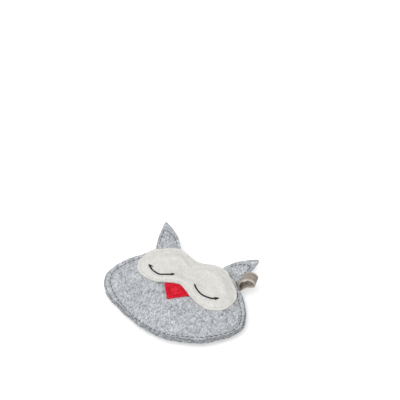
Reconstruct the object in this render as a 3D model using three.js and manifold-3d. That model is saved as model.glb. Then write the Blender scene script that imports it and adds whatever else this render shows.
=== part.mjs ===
// A stuffed felt owl head, a toy for a cat. It lies on its back with its face up.
// Two grey felt panels are sewn together round the rim and filled with wadding round a
// small sachet of dried catnip. A pale felt mask and a red beak are sewn on the front,
// two felt ears and a ribbon loop are caught in the rim seam, and the sleeping eyes are
// embroidered in black thread.
//
// Millimetres. +X is to the right of the face, +Y to the top of the head, +Z out of the face.
// The origin is the middle of the flat that the back rests on.

import * as THREE from 'three';
import { mergeVertices } from 'three/addons/utils/BufferGeometryUtils.js';
import Module from 'manifold-3d';

const wasm = await Module();
wasm.setup();

// Head outline, to the cut edge of the felt
const headHalfWidth = 54.5;
const headTop = 41.5;
const headBottom = 35;
const widestY = -3;
const crownFullness = 1.66;
const chinFullness = 1.76;
const crownDip = 7.6;
const leftDipHalfAngle = THREE.MathUtils.degToRad(30);
const rightDipHalfAngle = THREE.MathUtils.degToRad(38);
// The face is sewn on a little askew: the head's outline and the face are turned
// against each other.
const headTurn = THREE.MathUtils.degToRad(3.8);
const faceTurn = THREE.MathUtils.degToRad(-2);

// Rim seam and the swell of the two panels
const seamInset = 4.5;
const chinSeamInset = 2.4;
const chinHalfAngle = THREE.MathUtils.degToRad(75);
const felt = 1.5;
const frontSwell = 7;
const backSwell = 7.5;
const swellPower = 0.7;
const restFlatDepth = 0.5;

// The gap between two pieces that lie on each other
const touch = 0.3;

// Mask
const maskFelt = 1.2;
const maskRimInset = 0.8;
const lobeCentreX = 20.9;
const lobeCentreY = 14;
const lobeHalfWidth = 17.7;
const lobeHalfHeight = 15.8;
const lobeFullness = 2.43;
const maskShoulderAngle = THREE.MathUtils.degToRad(55);
const maskPeakY = 51;
const maskNotchY = 5.6;
const maskNotchHalfWidth = 9;
const maskStitchInset = 2;

// Beak
const beakFelt = 1.2;
const beakHalfWidth = 12;
const beakTipY = -9.2;
const beakTopY = 8;
const beakCornerRound = 1.2;
const beakStitchInset = 1.6;
const beakTuckRamp = 6;

// Eyes
const eyeCentreX = 18.4;
const eyeEndY = 9.6;
const eyeHalfChord = 9.7;
const eyeDrop = 4.5;

// Threads
const threadRadius = 0.3;
const eyeThreadRadius = 0.6;
const threadSides = 4;
const eyeThreadSides = 5;

// Ears
const earFelt = 1.5;
const leftEarBaseShares = [0.327, 0.615];
const rightEarBaseShares = [0.281, 0.55];
const earHeight = 26;
const earTipShare = 0.53;
const earTipRound = 2;
const earInnerBulge = 2.2;
const earOuterBulge = 0.8;
const earStitchInset = 2.2;
const earStitchStart = 3.6;
const earRootDepth = 7.5;
const leftEarLean = 2;
const rightEarLean = 3.8;

// Ribbon loop
const ribbon = 0.4;
const ribbonWidth = 7;
const ribbonGapFromEar = 0.4;
const ribbonRootDepth = 6.5;
const loopReach = 12.5;
// The loop's side view from the upper ply to the lower, as shares of its reach: how far
// out and how far up. It stands up from the seam, arches over and comes back below.
const loopShares = [
  [0.04, 0.38],
  [0.12, 0.8],
  [0.3, 1.2],
  [0.58, 1.42],
  [0.88, 1.4],
  [1.06, 1.2],
  [1.06, 0.97],
  [0.88, 0.8],
  [0.62, 0.66],
  [0.4, 0.45],
  [0.2, 0.18],
];

// Filling
const sachetHalfWidth = 24;
const sachetHalfHeight = 15;
const sachetCloth = 0.5;
const sachetSwell = 3;
const sachetSeam = 2.5;
const sachetRoom = 0.5;
const waddingShare = 0.88;

// Where the flange parts to let an ear or the ribbon in, and how much a root narrows
const rootTaper = 1.3;
const partMargin = 4;
const partRamp = 6;
const partStartShare = 0.7;
const partFullShare = 0.84;

// Fineness of the grids
const headSectors = 72;
const headRingShares = [0.12, 0.28, 0.5, partStartShare, partFullShare, 0.93, 0.98];
const fillSectors = 32;
const fillRingShares = [0.3, 0.55, 0.8, 1];
const lobeSteps = 28;
const earCurveSteps = 6;
const cornerSteps = 3;
const rimSteps = 120;

// Half the distance between the panels at the rim, and the height of the rim's mid plane
const rimHalfGap = touch / 2;
const rimHeight = backSwell + felt + rimHalfGap - restFlatDepth;

const between = (value, low, high) => Math.min(Math.max(value, low), high);
const smooth = (value, from, to) => {
  const t = between((value - from) / (to - from), 0, 1);
  return t * t * (3 - 2 * t);
};

// Radius of the head's cut edge at an angle from +X: the edge is a rounded oval that is
// widest a little below the origin, with a shallow dip in the middle of the crown.
function ovalRadius(angle) {
  let low = 0;
  let high = headHalfWidth + headTop;
  for (let i = 0; i < 40; i++) {
    const middle = (low + high) / 2;
    const y = middle * Math.sin(angle) - widestY;
    const height = y > 0 ? headTop - widestY : headBottom + widestY;
    const fullness = y > 0 ? crownFullness : chinFullness;
    const across = Math.pow(Math.abs(middle * Math.cos(angle)) / headHalfWidth, fullness);
    if (across + Math.pow(Math.abs(y) / height, fullness) > 1) high = middle;
    else low = middle;
  }
  const dipHalfAngle = angle > Math.PI / 2 ? leftDipHalfAngle : rightDipHalfAngle;
  const fromCrown = between(Math.abs(angle - Math.PI / 2) / dipHalfAngle, 0, 1);
  return low - crownDip * Math.pow(Math.cos((fromCrown * Math.PI) / 2), 2);
}
const ovalSteps = 720;
const ovalTable = Array.from({ length: ovalSteps }, (_, i) => ovalRadius((2 * Math.PI * i) / ovalSteps));
function edgeRadius(angle) {
  const turn = (angle - headTurn) / (2 * Math.PI);
  const place = (turn - Math.floor(turn)) * ovalSteps;
  const i = Math.floor(place) % ovalSteps;
  return THREE.MathUtils.lerp(ovalTable[i], ovalTable[(i + 1) % ovalSteps], place - Math.floor(place));
}
const edgePoint = (angle, inset = 0) => {
  const radius = edgeRadius(angle) - inset;
  return new THREE.Vector2(radius * Math.cos(angle), radius * Math.sin(angle));
};

// The angle at which the upper edge of the head is a given distance to one side.
function edgeAngleAt(away, side) {
  let low = side > 0 ? 0 : Math.PI;
  let high = Math.PI / 2;
  for (let i = 0; i < 40; i++) {
    const middle = (low + high) / 2;
    if (side * edgePoint(middle).x > away) low = middle;
    else high = middle;
  }
  return (low + high) / 2;
}

// How far the rim seam lies inside the cut edge, which is less under the chin.
function seamInsetAt(angle) {
  const own = angle - headTurn;
  const turn = Math.abs(Math.atan2(Math.cos(own), -Math.sin(own)));
  const fromChin = between(turn / chinHalfAngle, 0, 1);
  return seamInset + (chinSeamInset - seamInset) * Math.pow(Math.cos((fromChin * Math.PI) / 2), 2);
}

// Distance from the centre as a share of the distance to the rim seam.
function seamShare(x, y) {
  const angle = Math.atan2(y, x);
  return Math.hypot(x, y) / (edgeRadius(angle) - seamInsetAt(angle));
}
const swell = (share) => Math.pow(Math.max(1 - share * share, 0), swellPower);

// A place on the rim where something is sewn in: a straight base line between two
// points of the cut edge, and how far the edge bulges out past it.
function rimPlace(a, b, side) {
  const along = b.clone().sub(a).normalize();
  const out = new THREE.Vector2(-side * along.y, side * along.x);
  const middle = a.clone().add(b).multiplyScalar(1 / 2);
  const first = Math.atan2(a.y, a.x);
  const last = Math.atan2(b.y, b.x);
  let bulge = 0;
  for (let i = 0; i <= headSectors; i++) {
    const p = edgePoint(first + ((last - first) * i) / headSectors).sub(middle);
    bulge = Math.max(bulge, p.dot(out));
  }
  return { side, middle, along, out, bulge, width: a.distanceTo(b) };
}

const earHalfThickness = earFelt + touch / 2;
const ribbonHalfThickness = ribbon + touch / 2;

// The ribbon's place starts a little further down the rim than the right ear.
const leftEarBase = leftEarBaseShares.map((share) => share * headHalfWidth);
const rightEarBase = rightEarBaseShares.map((share) => share * headHalfWidth);
let ribbonLastAngle = edgeAngleAt(rightEarBase[1] + ribbonGapFromEar, 1);
const ribbonFirst = edgePoint(ribbonLastAngle);
while (edgePoint(ribbonLastAngle).distanceTo(ribbonFirst) < ribbonWidth) {
  ribbonLastAngle -= Math.PI / 2000;
}
const ribbonPlace = rimPlace(ribbonFirst, edgePoint(ribbonLastAngle), 1);
const earPlace = (base, side) => rimPlace(...base.map((away) => edgePoint(edgeAngleAt(away, side))), side);
const leftEarPlace = earPlace(leftEarBase, -1);
const rightEarPlace = earPlace(rightEarBase, 1);
const inserts = [
  { place: leftEarPlace, half: earHalfThickness },
  { place: rightEarPlace, half: earHalfThickness },
  { place: ribbonPlace, half: ribbonHalfThickness },
];

// Half the gap between the two panels, which part where something is sewn in.
function halfGap(x, y) {
  const point = new THREE.Vector2(x, y);
  const fade = smooth(seamShare(x, y), partStartShare, partFullShare);
  let extra = 0;
  for (const { place, half } of inserts) {
    const local = point.clone().sub(place.middle);
    const off = Math.abs(local.dot(place.along)) - place.width / 2;
    if (point.dot(place.out) < 0) continue;
    const reach = 1 - smooth(off, partMargin, partMargin + partRamp);
    extra = Math.max(extra, (half + touch - rimHalfGap) * reach);
  }
  return rimHalfGap + extra * fade;
}
const frontInside = (x, y) => rimHeight + halfGap(x, y) + frontSwell * swell(seamShare(x, y));
const frontOutside = (x, y) => frontInside(x, y) + felt;
const backInside = (x, y) => rimHeight - halfGap(x, y) - backSwell * swell(seamShare(x, y));
const backOutside = (x, y) => Math.max(backInside(x, y) - felt, 0);

// Mask, beak and eyes are drawn upright, then set on the head with the face's turn.
const centre = new THREE.Vector2(0, 0);
const onHead = (p) => p.clone().rotateAround(centre, faceTurn);
const onFace = (p) => p.clone().rotateAround(centre, -faceTurn);

// The mask rides up over the part of the beak that is tucked under it.
function beakUnderMask(x, y) {
  const own = onFace(new THREE.Vector2(x, y));
  const beside = smooth(Math.abs(own.x), beakHalfWidth, beakHalfWidth + beakTuckRamp);
  const above = smooth(own.y, beakTopY, beakTopY + beakTuckRamp);
  return (beakFelt + touch) * (1 - beside) * (1 - above);
}
const maskUnder = (x, y) => frontOutside(x, y) + touch + beakUnderMask(x, y);
const maskOver = (x, y) => maskUnder(x, y) + maskFelt;
const beakUnder = (x, y) => frontOutside(x, y) + touch;
const beakOver = (x, y) => beakUnder(x, y) + beakFelt;

// A closed solid between two height fields, on rings round a centre. The rings come
// as arrays of points, from the smallest to the outline.
function slab(centre, rings, under, over) {
  const positions = [];
  const index = [];
  const count = rings[0].length;
  const addSide = (height) => {
    const start = positions.length / 3;
    positions.push(centre.x, centre.y, height(centre.x, centre.y));
    rings.forEach((ring) => ring.forEach((p) => positions.push(p.x, p.y, height(p.x, p.y))));
    return start;
  };
  const lower = addSide(under);
  const upper = addSide(over);
  const face = (flip, a, b, c) => (flip ? index.push(a, c, b) : index.push(a, b, c));
  for (const [start, flip] of [[lower, true], [upper, false]]) {
    for (let i = 0; i < count; i++) {
      const next = (i + 1) % count;
      face(flip, start, start + 1 + i, start + 1 + next);
      for (let r = 1; r < rings.length; r++) {
        const inner = start + 1 + (r - 1) * count;
        const outer = inner + count;
        face(flip, inner + i, outer + i, outer + next);
        face(flip, inner + i, outer + next, inner + next);
      }
    }
  }
  const rim = 1 + (rings.length - 1) * count;
  for (let i = 0; i < count; i++) {
    const next = (i + 1) % count;
    index.push(lower + rim + i, lower + rim + next, upper + rim + next);
    index.push(lower + rim + i, upper + rim + next, upper + rim + i);
  }
  const geometry = new THREE.BufferGeometry();
  geometry.setAttribute('position', new THREE.Float32BufferAttribute(positions, 3));
  geometry.setIndex(index);
  return geometry;
}

// Rings over the whole head: shares of the seam's distance, the seam and the edge.
function headRings(edgeInset) {
  const angles = Array.from({ length: headSectors }, (_, i) => (2 * Math.PI * i) / headSectors);
  const toSeam = (share) => angles.map((a) => edgePoint(a, seamInsetAt(a)).multiplyScalar(share));
  return [...headRingShares.map(toSeam), toSeam(1), angles.map((a) => edgePoint(a, edgeInset))];
}
const headSlab = (under, over, edgeInset = 0) => slab(centre, headRings(edgeInset), under, over);

// Booleans on closed geometries.
function toSolid(geometry) {
  const bare = new THREE.BufferGeometry();
  bare.setAttribute('position', geometry.getAttribute('position'));
  if (geometry.index) bare.setIndex(geometry.index);
  const merged = mergeVertices(bare);
  return new wasm.Manifold(
    new wasm.Mesh({
      numProp: 3,
      vertProperties: new Float32Array(merged.attributes.position.array),
      triVerts: new Uint32Array(merged.index.array),
    }),
  );
}
function toGeometry(solid) {
  const mesh = solid.getMesh();
  const geometry = new THREE.BufferGeometry();
  geometry.setAttribute('position', new THREE.BufferAttribute(mesh.vertProperties, 3));
  geometry.setIndex(new THREE.BufferAttribute(mesh.triVerts, 1));
  return geometry;
}

// An upright prism through the whole thickness of the toy, to cut a sheet with.
const prismHeight = 2 * (rimHeight + frontSwell + felt + beakFelt + maskFelt + earFelt);
function prism(points) {
  return new THREE.ExtrudeGeometry(new THREE.Shape(points), { depth: prismHeight, bevelEnabled: false });
}
const cutFromSheet = (sheet, points) => toGeometry(toSolid(sheet).intersect(toSolid(prism(points))));

// A round thread along points in space. A closed thread joins its own start.
function thread(points, radius, sides, closed = false) {
  const positions = [];
  const index = [];
  const count = points.length;
  const up = new THREE.Vector3(0, 0, 1);
  points.forEach((p, i) => {
    const before = points[closed ? (i + count - 1) % count : Math.max(i - 1, 0)];
    const after = points[closed ? (i + 1) % count : Math.min(i + 1, count - 1)];
    const forward = after.clone().sub(before).normalize();
    const aside = forward.clone().cross(up).normalize();
    const above = aside.clone().cross(forward);
    for (let k = 0; k < sides; k++) {
      const angle = (2 * Math.PI * k) / sides;
      const corner = p.clone().addScaledVector(aside, radius * Math.cos(angle));
      positions.push(...corner.addScaledVector(above, radius * Math.sin(angle)).toArray());
    }
  });
  for (let i = 0; i < (closed ? count : count - 1); i++) {
    for (let k = 0; k < sides; k++) {
      const here = i * sides;
      const there = ((i + 1) % count) * sides;
      const next = (k + 1) % sides;
      index.push(here + k, there + next, here + next, here + k, there + k, there + next);
    }
  }
  if (!closed) {
    const last = (count - 1) * sides;
    for (let k = 1; k < sides - 1; k++) {
      index.push(0, k, k + 1, last, last + k + 1, last + k);
    }
  }
  const geometry = new THREE.BufferGeometry();
  geometry.setAttribute('position', new THREE.Float32BufferAttribute(positions, 3));
  geometry.setIndex(index);
  return geometry;
}

// The height of a slab's flat facets, which between its rings differs a little from
// the height that it was made from.
const cornerSlack = 1e-6;
function facetHeight(rings, height) {
  const count = rings[0].length;
  const corner = new THREE.Triangle();
  const weights = new THREE.Vector3();
  const flat = (p) => new THREE.Vector3(p.x, p.y, 0);
  return (x, y) => {
    const turn = Math.atan2(y, x) / (2 * Math.PI);
    const i = Math.floor(between(turn - Math.floor(turn), 0, 1) * count) % count;
    const next = (i + 1) % count;
    const point = new THREE.Vector3(x, y, 0);
    for (let r = 0; r < rings.length; r++) {
      const inner = r ? [rings[r - 1][i], rings[r - 1][next]] : [centre, centre];
      const outer = [rings[r][i], rings[r][next]];
      for (const three of [[inner[0], outer[0], outer[1]], [inner[0], outer[1], inner[1]]]) {
        corner.set(...three.map(flat));
        if (!corner.getBarycoord(point, weights)) continue;
        if (Math.min(...weights.toArray()) < -cornerSlack) continue;
        const heights = three.map((p) => height(p.x, p.y));
        return weights.x * heights[0] + weights.y * heights[1] + weights.z * heights[2];
      }
    }
    return height(x, y);
  };
}

// Lays a path on a surface: each point is high enough for the thread round it and for
// half of the run to either neighbour. A sign of -1 hangs the thread under the surface.
function layOn(path, surface, radius, sign = 1, closed = false) {
  const count = path.length;
  const around = [0, 1, 2, 3, 4, 5].map((k) => (k * Math.PI) / 3);
  const need = (p) => {
    const spots = around.map((a) => surface(p.x + radius * Math.cos(a), p.y + radius * Math.sin(a)));
    return sign * Math.max(...spots.map((z) => sign * z), sign * surface(p.x, p.y));
  };
  return path.map((p, i) => {
    const before = path[closed ? (i + count - 1) % count : Math.max(i - 1, 0)];
    const after = path[closed ? (i + 1) % count : Math.min(i + 1, count - 1)];
    const spots = [p, p.clone().lerp(before, 1 / 2), p.clone().lerp(after, 1 / 2)].map(need);
    const z = sign * Math.max(...spots.map((v) => sign * v));
    return new THREE.Vector3(p.x, p.y, z + sign * (touch + radius));
  });
}

// Materials
const finish = (color, roughness) => new THREE.MeshStandardMaterial({ color, roughness, metalness: 0 });
const greyFelt = finish(0xb6b9bd, 0.95);
const paleFelt = finish(0xdfddd5, 0.95);
const redFelt = finish(0xd3182f, 0.9);
const greyThread = finish(0x6f7276, 0.8);
const paleThread = finish(0xe6e4dc, 0.75);
const redThread = finish(0xb01226, 0.75);
const blackThread = finish(0x151516, 0.7);
const beigeRibbon = finish(0xbfae9c, 0.55);
const whiteWadding = finish(0xf0efeb, 1);
const sachetCotton = finish(0xe4dcc6, 0.95);
const driedHerb = finish(0x6d7446, 1);

const toy = new THREE.Group();
function add(name, geometry, material, parent = toy) {
  const mesh = new THREE.Mesh(geometry, material);
  mesh.name = name;
  parent.add(mesh);
  return mesh;
}

// Panels
add('front_panel', headSlab(frontInside, frontOutside), greyFelt);
add('back_panel', headSlab(backOutside, backInside), greyFelt);

// Filling: wadding in front and behind, and the sachet between them
const sachetPoint = (angle) =>
  new THREE.Vector2(sachetHalfWidth * Math.cos(angle), sachetHalfHeight * Math.sin(angle));
const sachetShare = (x, y) => Math.hypot(x / sachetHalfWidth, y / sachetHalfHeight);
const stuffedShare = 1 - sachetSeam / sachetHalfHeight;
const sachetRise = (x, y) => sachetSwell * Math.max(1 - Math.pow(sachetShare(x, y) / stuffedShare, 2), 0);
const sachetTop = (x, y) => rimHalfGap + sachetCloth + sachetRise(x, y);
const fillAngles = Array.from({ length: fillSectors }, (_, i) => (2 * Math.PI * i) / fillSectors);
const ringsOf = (point, outermost) =>
  fillRingShares.map((share) => fillAngles.map((a) => point(a).multiplyScalar(share * outermost)));
const sachetSlab = (under, over, outermost) =>
  slab(centre, ringsOf(sachetPoint, outermost), under, over);

const sachetInside = (x, y) => rimHalfGap + sachetRise(x, y);
const herbHalf = (x, y) => Math.max(sachetRise(x, y) - touch + rimHalfGap, rimHalfGap);
add(
  'sachet_front_cloth',
  sachetSlab((x, y) => rimHeight + sachetInside(x, y), (x, y) => rimHeight + sachetTop(x, y), 1),
  sachetCotton,
);
add(
  'sachet_back_cloth',
  sachetSlab((x, y) => rimHeight - sachetTop(x, y), (x, y) => rimHeight - sachetInside(x, y), 1),
  sachetCotton,
);
const herbShare = stuffedShare * Math.sqrt(1 - (2 * touch) / sachetSwell);
add(
  'dried_catnip',
  sachetSlab((x, y) => rimHeight - herbHalf(x, y), (x, y) => rimHeight + herbHalf(x, y), herbShare),
  driedHerb,
);

const pocket = (x, y) => {
  const over = sachetTop(x, y) + sachetRoom - rimHalfGap;
  const beyond = (sachetShare(x, y) - 1) * sachetHalfHeight;
  return over * (1 - smooth(beyond, partMargin, partMargin + partRamp));
};
const fillPoint = (angle) => edgePoint(angle, seamInsetAt(angle));
const waddingRings = ringsOf(fillPoint, waddingShare);
add(
  'front_wadding',
  slab(
    centre,
    waddingRings,
    (x, y) => rimHeight + rimHalfGap + pocket(x, y),
    (x, y) => frontInside(x, y) - sachetRoom,
  ),
  whiteWadding,
);
add(
  'back_wadding',
  slab(
    centre,
    waddingRings,
    (x, y) => backInside(x, y) + sachetRoom,
    (x, y) => rimHeight - rimHalfGap - pocket(x, y),
  ),
  whiteWadding,
);

// Mask: two rounded lobes joined by a bridge, with a notch under the bridge. Above its
// shoulders it runs on to the head's own edge, where the rim seam catches it.
function lobePoint(angle, inset = 0) {
  const c = Math.cos(angle);
  const s = Math.sin(angle);
  const power = 2 / lobeFullness;
  return new THREE.Vector2(
    lobeCentreX + (lobeHalfWidth - inset) * Math.sign(c) * Math.pow(Math.abs(c), power),
    lobeCentreY + (lobeHalfHeight - inset) * Math.sign(s) * Math.pow(Math.abs(s), power),
  );
}
// Points of the right half, from the notch round the lobe to its shoulder.
function maskHalf(inset) {
  const reach = (lobeCentreX - maskNotchHalfWidth) / (lobeHalfWidth - inset);
  const first = -Math.PI + Math.acos(Math.pow(between(reach, 0, 1), lobeFullness / 2));
  const lobe = Array.from({ length: lobeSteps + 1 }, (_, i) =>
    lobePoint(first + ((maskShoulderAngle - first) * i) / lobeSteps, inset),
  );
  return [new THREE.Vector2(0, maskNotchY + inset), ...lobe];
}
const mirrored = (points) => points.map((p) => new THREE.Vector2(-p.x, p.y)).reverse();
const maskRight = [...maskHalf(0), new THREE.Vector2(0, maskPeakY)];
const maskOutline = [...maskRight, ...mirrored(maskRight).slice(1, -1)].map(onHead);
add('eye_mask', cutFromSheet(headSlab(maskUnder, maskOver, maskRimInset), maskOutline), paleFelt);
const maskSurface = facetHeight(headRings(maskRimInset), maskOver);
const frontSurface = facetHeight(headRings(0), frontOutside);
const backSurface = facetHeight(headRings(0), backOutside);
const beakSurface = facetHeight(headRings(0), beakOver);

// Beak: a triangle with its point down, its top tucked under the mask's notch
function roundedOutline(corners, radius) {
  const points = [];
  corners.forEach((corner, i) => {
    const before = corners[(i + corners.length - 1) % corners.length];
    const after = corners[(i + 1) % corners.length];
    const toBefore = before.clone().sub(corner).normalize();
    const toAfter = after.clone().sub(corner).normalize();
    const start = corner.clone().addScaledVector(toBefore, radius);
    const end = corner.clone().addScaledVector(toAfter, radius);
    const bend = new THREE.QuadraticBezierCurve(start, corner, end);
    points.push(...bend.getPoints(cornerSteps));
  });
  return points;
}
const beakSide = new THREE.Vector2(beakHalfWidth, beakTipY + beakHalfWidth);
const beakCorners = [
  new THREE.Vector2(0, beakTipY),
  beakSide,
  new THREE.Vector2(0, beakTopY),
  new THREE.Vector2(-beakSide.x, beakSide.y),
];
const beakOutline = roundedOutline(beakCorners, beakCornerRound).map(onHead);
add('beak', cutFromSheet(headSlab(beakUnder, beakOver), beakOutline), redFelt);

// Threads that lie on the front: the mask's and the beak's top stitching, and the eyes
const belowSeam = (p) => seamShare(p.x, p.y) < 1 - maskStitchInset / (headTop - seamInset);
const maskStitchRight = maskHalf(maskStitchInset);
const maskStitchLine = [...mirrored(maskStitchRight).slice(0, -1), ...maskStitchRight];
const maskStitchPath = maskStitchLine.map(onHead).filter(belowSeam);
add(
  'mask_stitching',
  thread(layOn(maskStitchPath, maskSurface, threadRadius), threadRadius, threadSides),
  paleThread,
);

// The beak's stitching follows its two lower sides, and stays on the part of them that
// shows below the mask.
const beakStitchTip = new THREE.Vector2(0, beakTipY + beakStitchInset * Math.SQRT2);
const beakStitchRun = beakHalfWidth - 2 * beakStitchInset;
const beakStitchShown = (maskNotchY - beakStitchInset - beakStitchTip.y) / 2;
const beakStitchReach = Math.min(beakStitchRun / 2, beakStitchShown);
const beakStitchPath = [-1, 0, 1].map(
  (t) => new THREE.Vector2(t * beakStitchReach, beakStitchTip.y + Math.abs(t) * beakStitchReach),
);
const beakStitches = beakStitchPath.map(onHead);
add(
  'beak_stitching',
  thread(layOn(beakStitches, beakSurface, threadRadius), threadRadius, threadSides),
  redThread,
);

const eyeRadius = (eyeHalfChord * eyeHalfChord + eyeDrop * eyeDrop) / (2 * eyeDrop);
const eyeHalfAngle = Math.asin(eyeHalfChord / eyeRadius);
const eyeSteps = 12;
for (const [name, side] of [['left_eye_embroidery', -1], ['right_eye_embroidery', 1]]) {
  const path = Array.from({ length: eyeSteps + 1 }, (_, i) => {
    const angle = eyeHalfAngle * ((2 * i) / eyeSteps - 1);
    const x = side * eyeCentreX + eyeRadius * Math.sin(angle);
    return onHead(new THREE.Vector2(x, eyeEndY - eyeDrop + eyeRadius * (1 - Math.cos(angle))));
  });
  add(name, thread(layOn(path, maskSurface, eyeThreadRadius), eyeThreadRadius, eyeThreadSides), blackThread);
}

// Rim seam: a thread on the front and one on the back, just outside the swell. On the
// front it climbs onto the mask a little before the mask's edge.
const maskSolidShape = new THREE.Shape(maskOutline).getPoints();
const insideMask = (p) => {
  let inside = false;
  maskSolidShape.forEach((a, i) => {
    const b = maskSolidShape[(i + 1) % maskSolidShape.length];
    if (a.y > p.y !== b.y > p.y && p.x < ((b.x - a.x) * (p.y - a.y)) / (b.y - a.y) + a.x) inside = !inside;
  });
  return inside;
};
const rimAngles = Array.from({ length: rimSteps }, (_, i) => (2 * Math.PI * i) / rimSteps);
const rimPoints = rimAngles.map((a) => edgePoint(a, seamInsetAt(a) - threadRadius - touch));
const onMask = rimPoints.map(insideMask);
const nearMask = onMask.map((_, i) => [-1, 0, 1].some((k) => onMask[(i + k + rimSteps) % rimSteps]));
const overFront = layOn(rimPoints, frontSurface, threadRadius, 1, true);
const overMask = layOn(rimPoints, maskSurface, threadRadius, 1, true);
const rimFront = rimPoints.map((_, i) => (nearMask[i] ? overMask[i] : overFront[i]));
const rimBack = layOn(rimPoints, backSurface, threadRadius, -1, true);
add('rim_seam_front', thread(rimFront, threadRadius, threadSides, true), greyThread);
add('rim_seam_back', thread(rimBack, threadRadius, threadSides, true), greyThread);

// A frame on the rim: x along the base line, y outwards, z up. Its origin is on the
// hinge line, just clear of the felt's edge.
function rimFrame(place, reach) {
  const frame = new THREE.Group();
  const start = place.middle.clone().addScaledVector(place.out, place.bulge + touch + reach);
  const x = new THREE.Vector3(place.out.y, -place.out.x, 0);
  const y = new THREE.Vector3(place.out.x, place.out.y, 0);
  frame.matrix.makeBasis(x, y, new THREE.Vector3(0, 0, 1));
  frame.matrix.setPosition(start.x, start.y, rimHeight);
  frame.matrix.decompose(frame.position, frame.quaternion, frame.scale);
  toy.add(frame);
  return frame;
}

// The root of something that is sewn in. It faces the flap at its outer end and
// narrows inwards, so that two roots side by side stay clear of each other.
function root(width, depth, half) {
  const end = -half - touch;
  const shape = new THREE.Shape([
    new THREE.Vector2(-width / 2 + rootTaper, end - depth),
    new THREE.Vector2(width / 2 - rootTaper, end - depth),
    new THREE.Vector2(width / 2, end),
    new THREE.Vector2(-width / 2, end),
  ]);
  return new THREE.ExtrudeGeometry(shape, { depth: 2 * half, bevelEnabled: false }).translate(0, 0, -half);
}

// Ears: two layers of felt with a line of stitching on each face, and the root that is
// sewn between the panels. The flap's lower end is round about the hinge line.
function earOutline(place, lean, inset) {
  const half = place.width / 2 - inset;
  const tipX = (earTipShare - 1 / 2) * place.width * place.side + lean * place.side;
  const tipY = earHeight - place.bulge - earHalfThickness - touch - (2 * inset * earHeight) / place.width;
  const base = [new THREE.Vector2(half, 0), new THREE.Vector2(-half, 0)];
  const tip = new THREE.Vector2(tipX, tipY);
  // The control point of a side that bulges by so much, and the point near the tip
  // where the side ends and the rounding begins.
  const control = (from, bulge) => {
    const normal = new THREE.Vector2(tip.y - from.y, from.x - tip.x).normalize();
    const away = Math.sign(from.x) * 2 * bulge;
    return from.clone().add(tip).multiplyScalar(1 / 2).addScaledVector(normal, away);
  };
  const bulgeOf = (from) => (from.x * place.side > 0 ? earOuterBulge : earInnerBulge);
  const [first, second] = base.map((from) => control(from, bulgeOf(from)));
  const beside = (p) => tip.clone().add(p.clone().sub(tip).setLength(earTipRound));
  const [landing, takeOff] = [beside(first), beside(second)];
  const curve = new THREE.Path();
  curve.moveTo(base[0].x, base[0].y);
  curve.quadraticCurveTo(first.x, first.y, landing.x, landing.y);
  curve.quadraticCurveTo(tip.x, tip.y, takeOff.x, takeOff.y);
  curve.quadraticCurveTo(second.x, second.y, base[1].x, base[1].y);
  return curve.getPoints(earCurveSteps);
}
for (const [name, place, lean] of [
  ['left_ear', leftEarPlace, leftEarLean],
  ['right_ear', rightEarPlace, rightEarLean],
]) {
  const frame = rimFrame(place, earHalfThickness);
  const outline = earOutline(place, lean, 0);
  const width = place.width;
  const foot = [
    new THREE.Vector2(-width / 2, -earHalfThickness),
    new THREE.Vector2(width / 2, -earHalfThickness),
  ];
  const layer = new THREE.ExtrudeGeometry(new THREE.Shape([...foot, ...outline]), {
    depth: earFelt,
    bevelEnabled: false,
  });
  const roundEnd = new THREE.CylinderGeometry(earHalfThickness, earHalfThickness, 2 * width, headSectors);
  roundEnd.rotateZ(Math.PI / 2);
  const below = new THREE.BoxGeometry(2 * width, 2 * earHalfThickness, 4 * earHalfThickness);
  below.translate(0, -earHalfThickness, 0);
  const corners = toSolid(below).subtract(toSolid(roundEnd));
  const front = layer.clone().translate(0, 0, touch / 2);
  const back = layer.clone().translate(0, 0, -touch / 2 - earFelt);
  add(`${name}_front`, toGeometry(toSolid(front).subtract(corners)), greyFelt, frame);
  add(`${name}_back`, toGeometry(toSolid(back).subtract(corners)), greyFelt, frame);

  const path = earOutline(place, lean, earStitchInset)
    .filter((p) => p.y > earStitchStart)
    .map((p) => new THREE.Vector3(p.x, p.y, 0));
  const lift = earHalfThickness + touch + threadRadius;
  const stitch = thread(path, threadRadius, threadSides);
  add(`${name}_stitching_front`, stitch.clone().translate(0, 0, lift), greyThread, frame);
  add(`${name}_stitching_back`, stitch.clone().translate(0, 0, -lift), greyThread, frame);

  add(`${name}_root`, root(width, earRootDepth, earHalfThickness), greyFelt, frame);
}

// Ribbon loop: the doubled end in the seam, and a loop that stands out and curls up
const ribbonFrame = rimFrame(ribbonPlace, ribbonHalfThickness);
add('ribbon_root', root(ribbonWidth, ribbonRootDepth, ribbonHalfThickness), beigeRibbon, ribbonFrame);

// The loop's side view is drawn with x outwards and y up, and is as long as the ribbon
// is wide: the ribbon's middle line, thickened to both sides.
const plyMiddle = (touch + ribbon) / 2;
const loopLine = new THREE.CatmullRomCurve3([
  new THREE.Vector3(0, plyMiddle, 0),
  ...loopShares.map(([out, up]) => new THREE.Vector3(out * loopReach, up * loopReach, 0)),
  new THREE.Vector3(0, -plyMiddle, 0),
]);
const loopSteps = 30;
const outside = [];
const inside = [];
for (let i = 0; i <= loopSteps; i++) {
  const at = loopLine.getPoint(i / loopSteps);
  const tangent = loopLine.getTangent(i / loopSteps);
  const normal = new THREE.Vector3(-tangent.y, tangent.x, 0).multiplyScalar(ribbon / 2);
  outside.push(at.clone().add(normal));
  inside.push(at.clone().sub(normal));
}
const loopShape = new THREE.Shape([...outside, ...inside.reverse()].map((p) => new THREE.Vector2(p.x, p.y)));
const loop = new THREE.ExtrudeGeometry(loopShape, { depth: ribbonWidth, bevelEnabled: false });
const alongRim = new THREE.Vector3(1, 0, 0);
const outwards = new THREE.Vector3(0, 1, 0);
const upwards = new THREE.Vector3(0, 0, 1);
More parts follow.
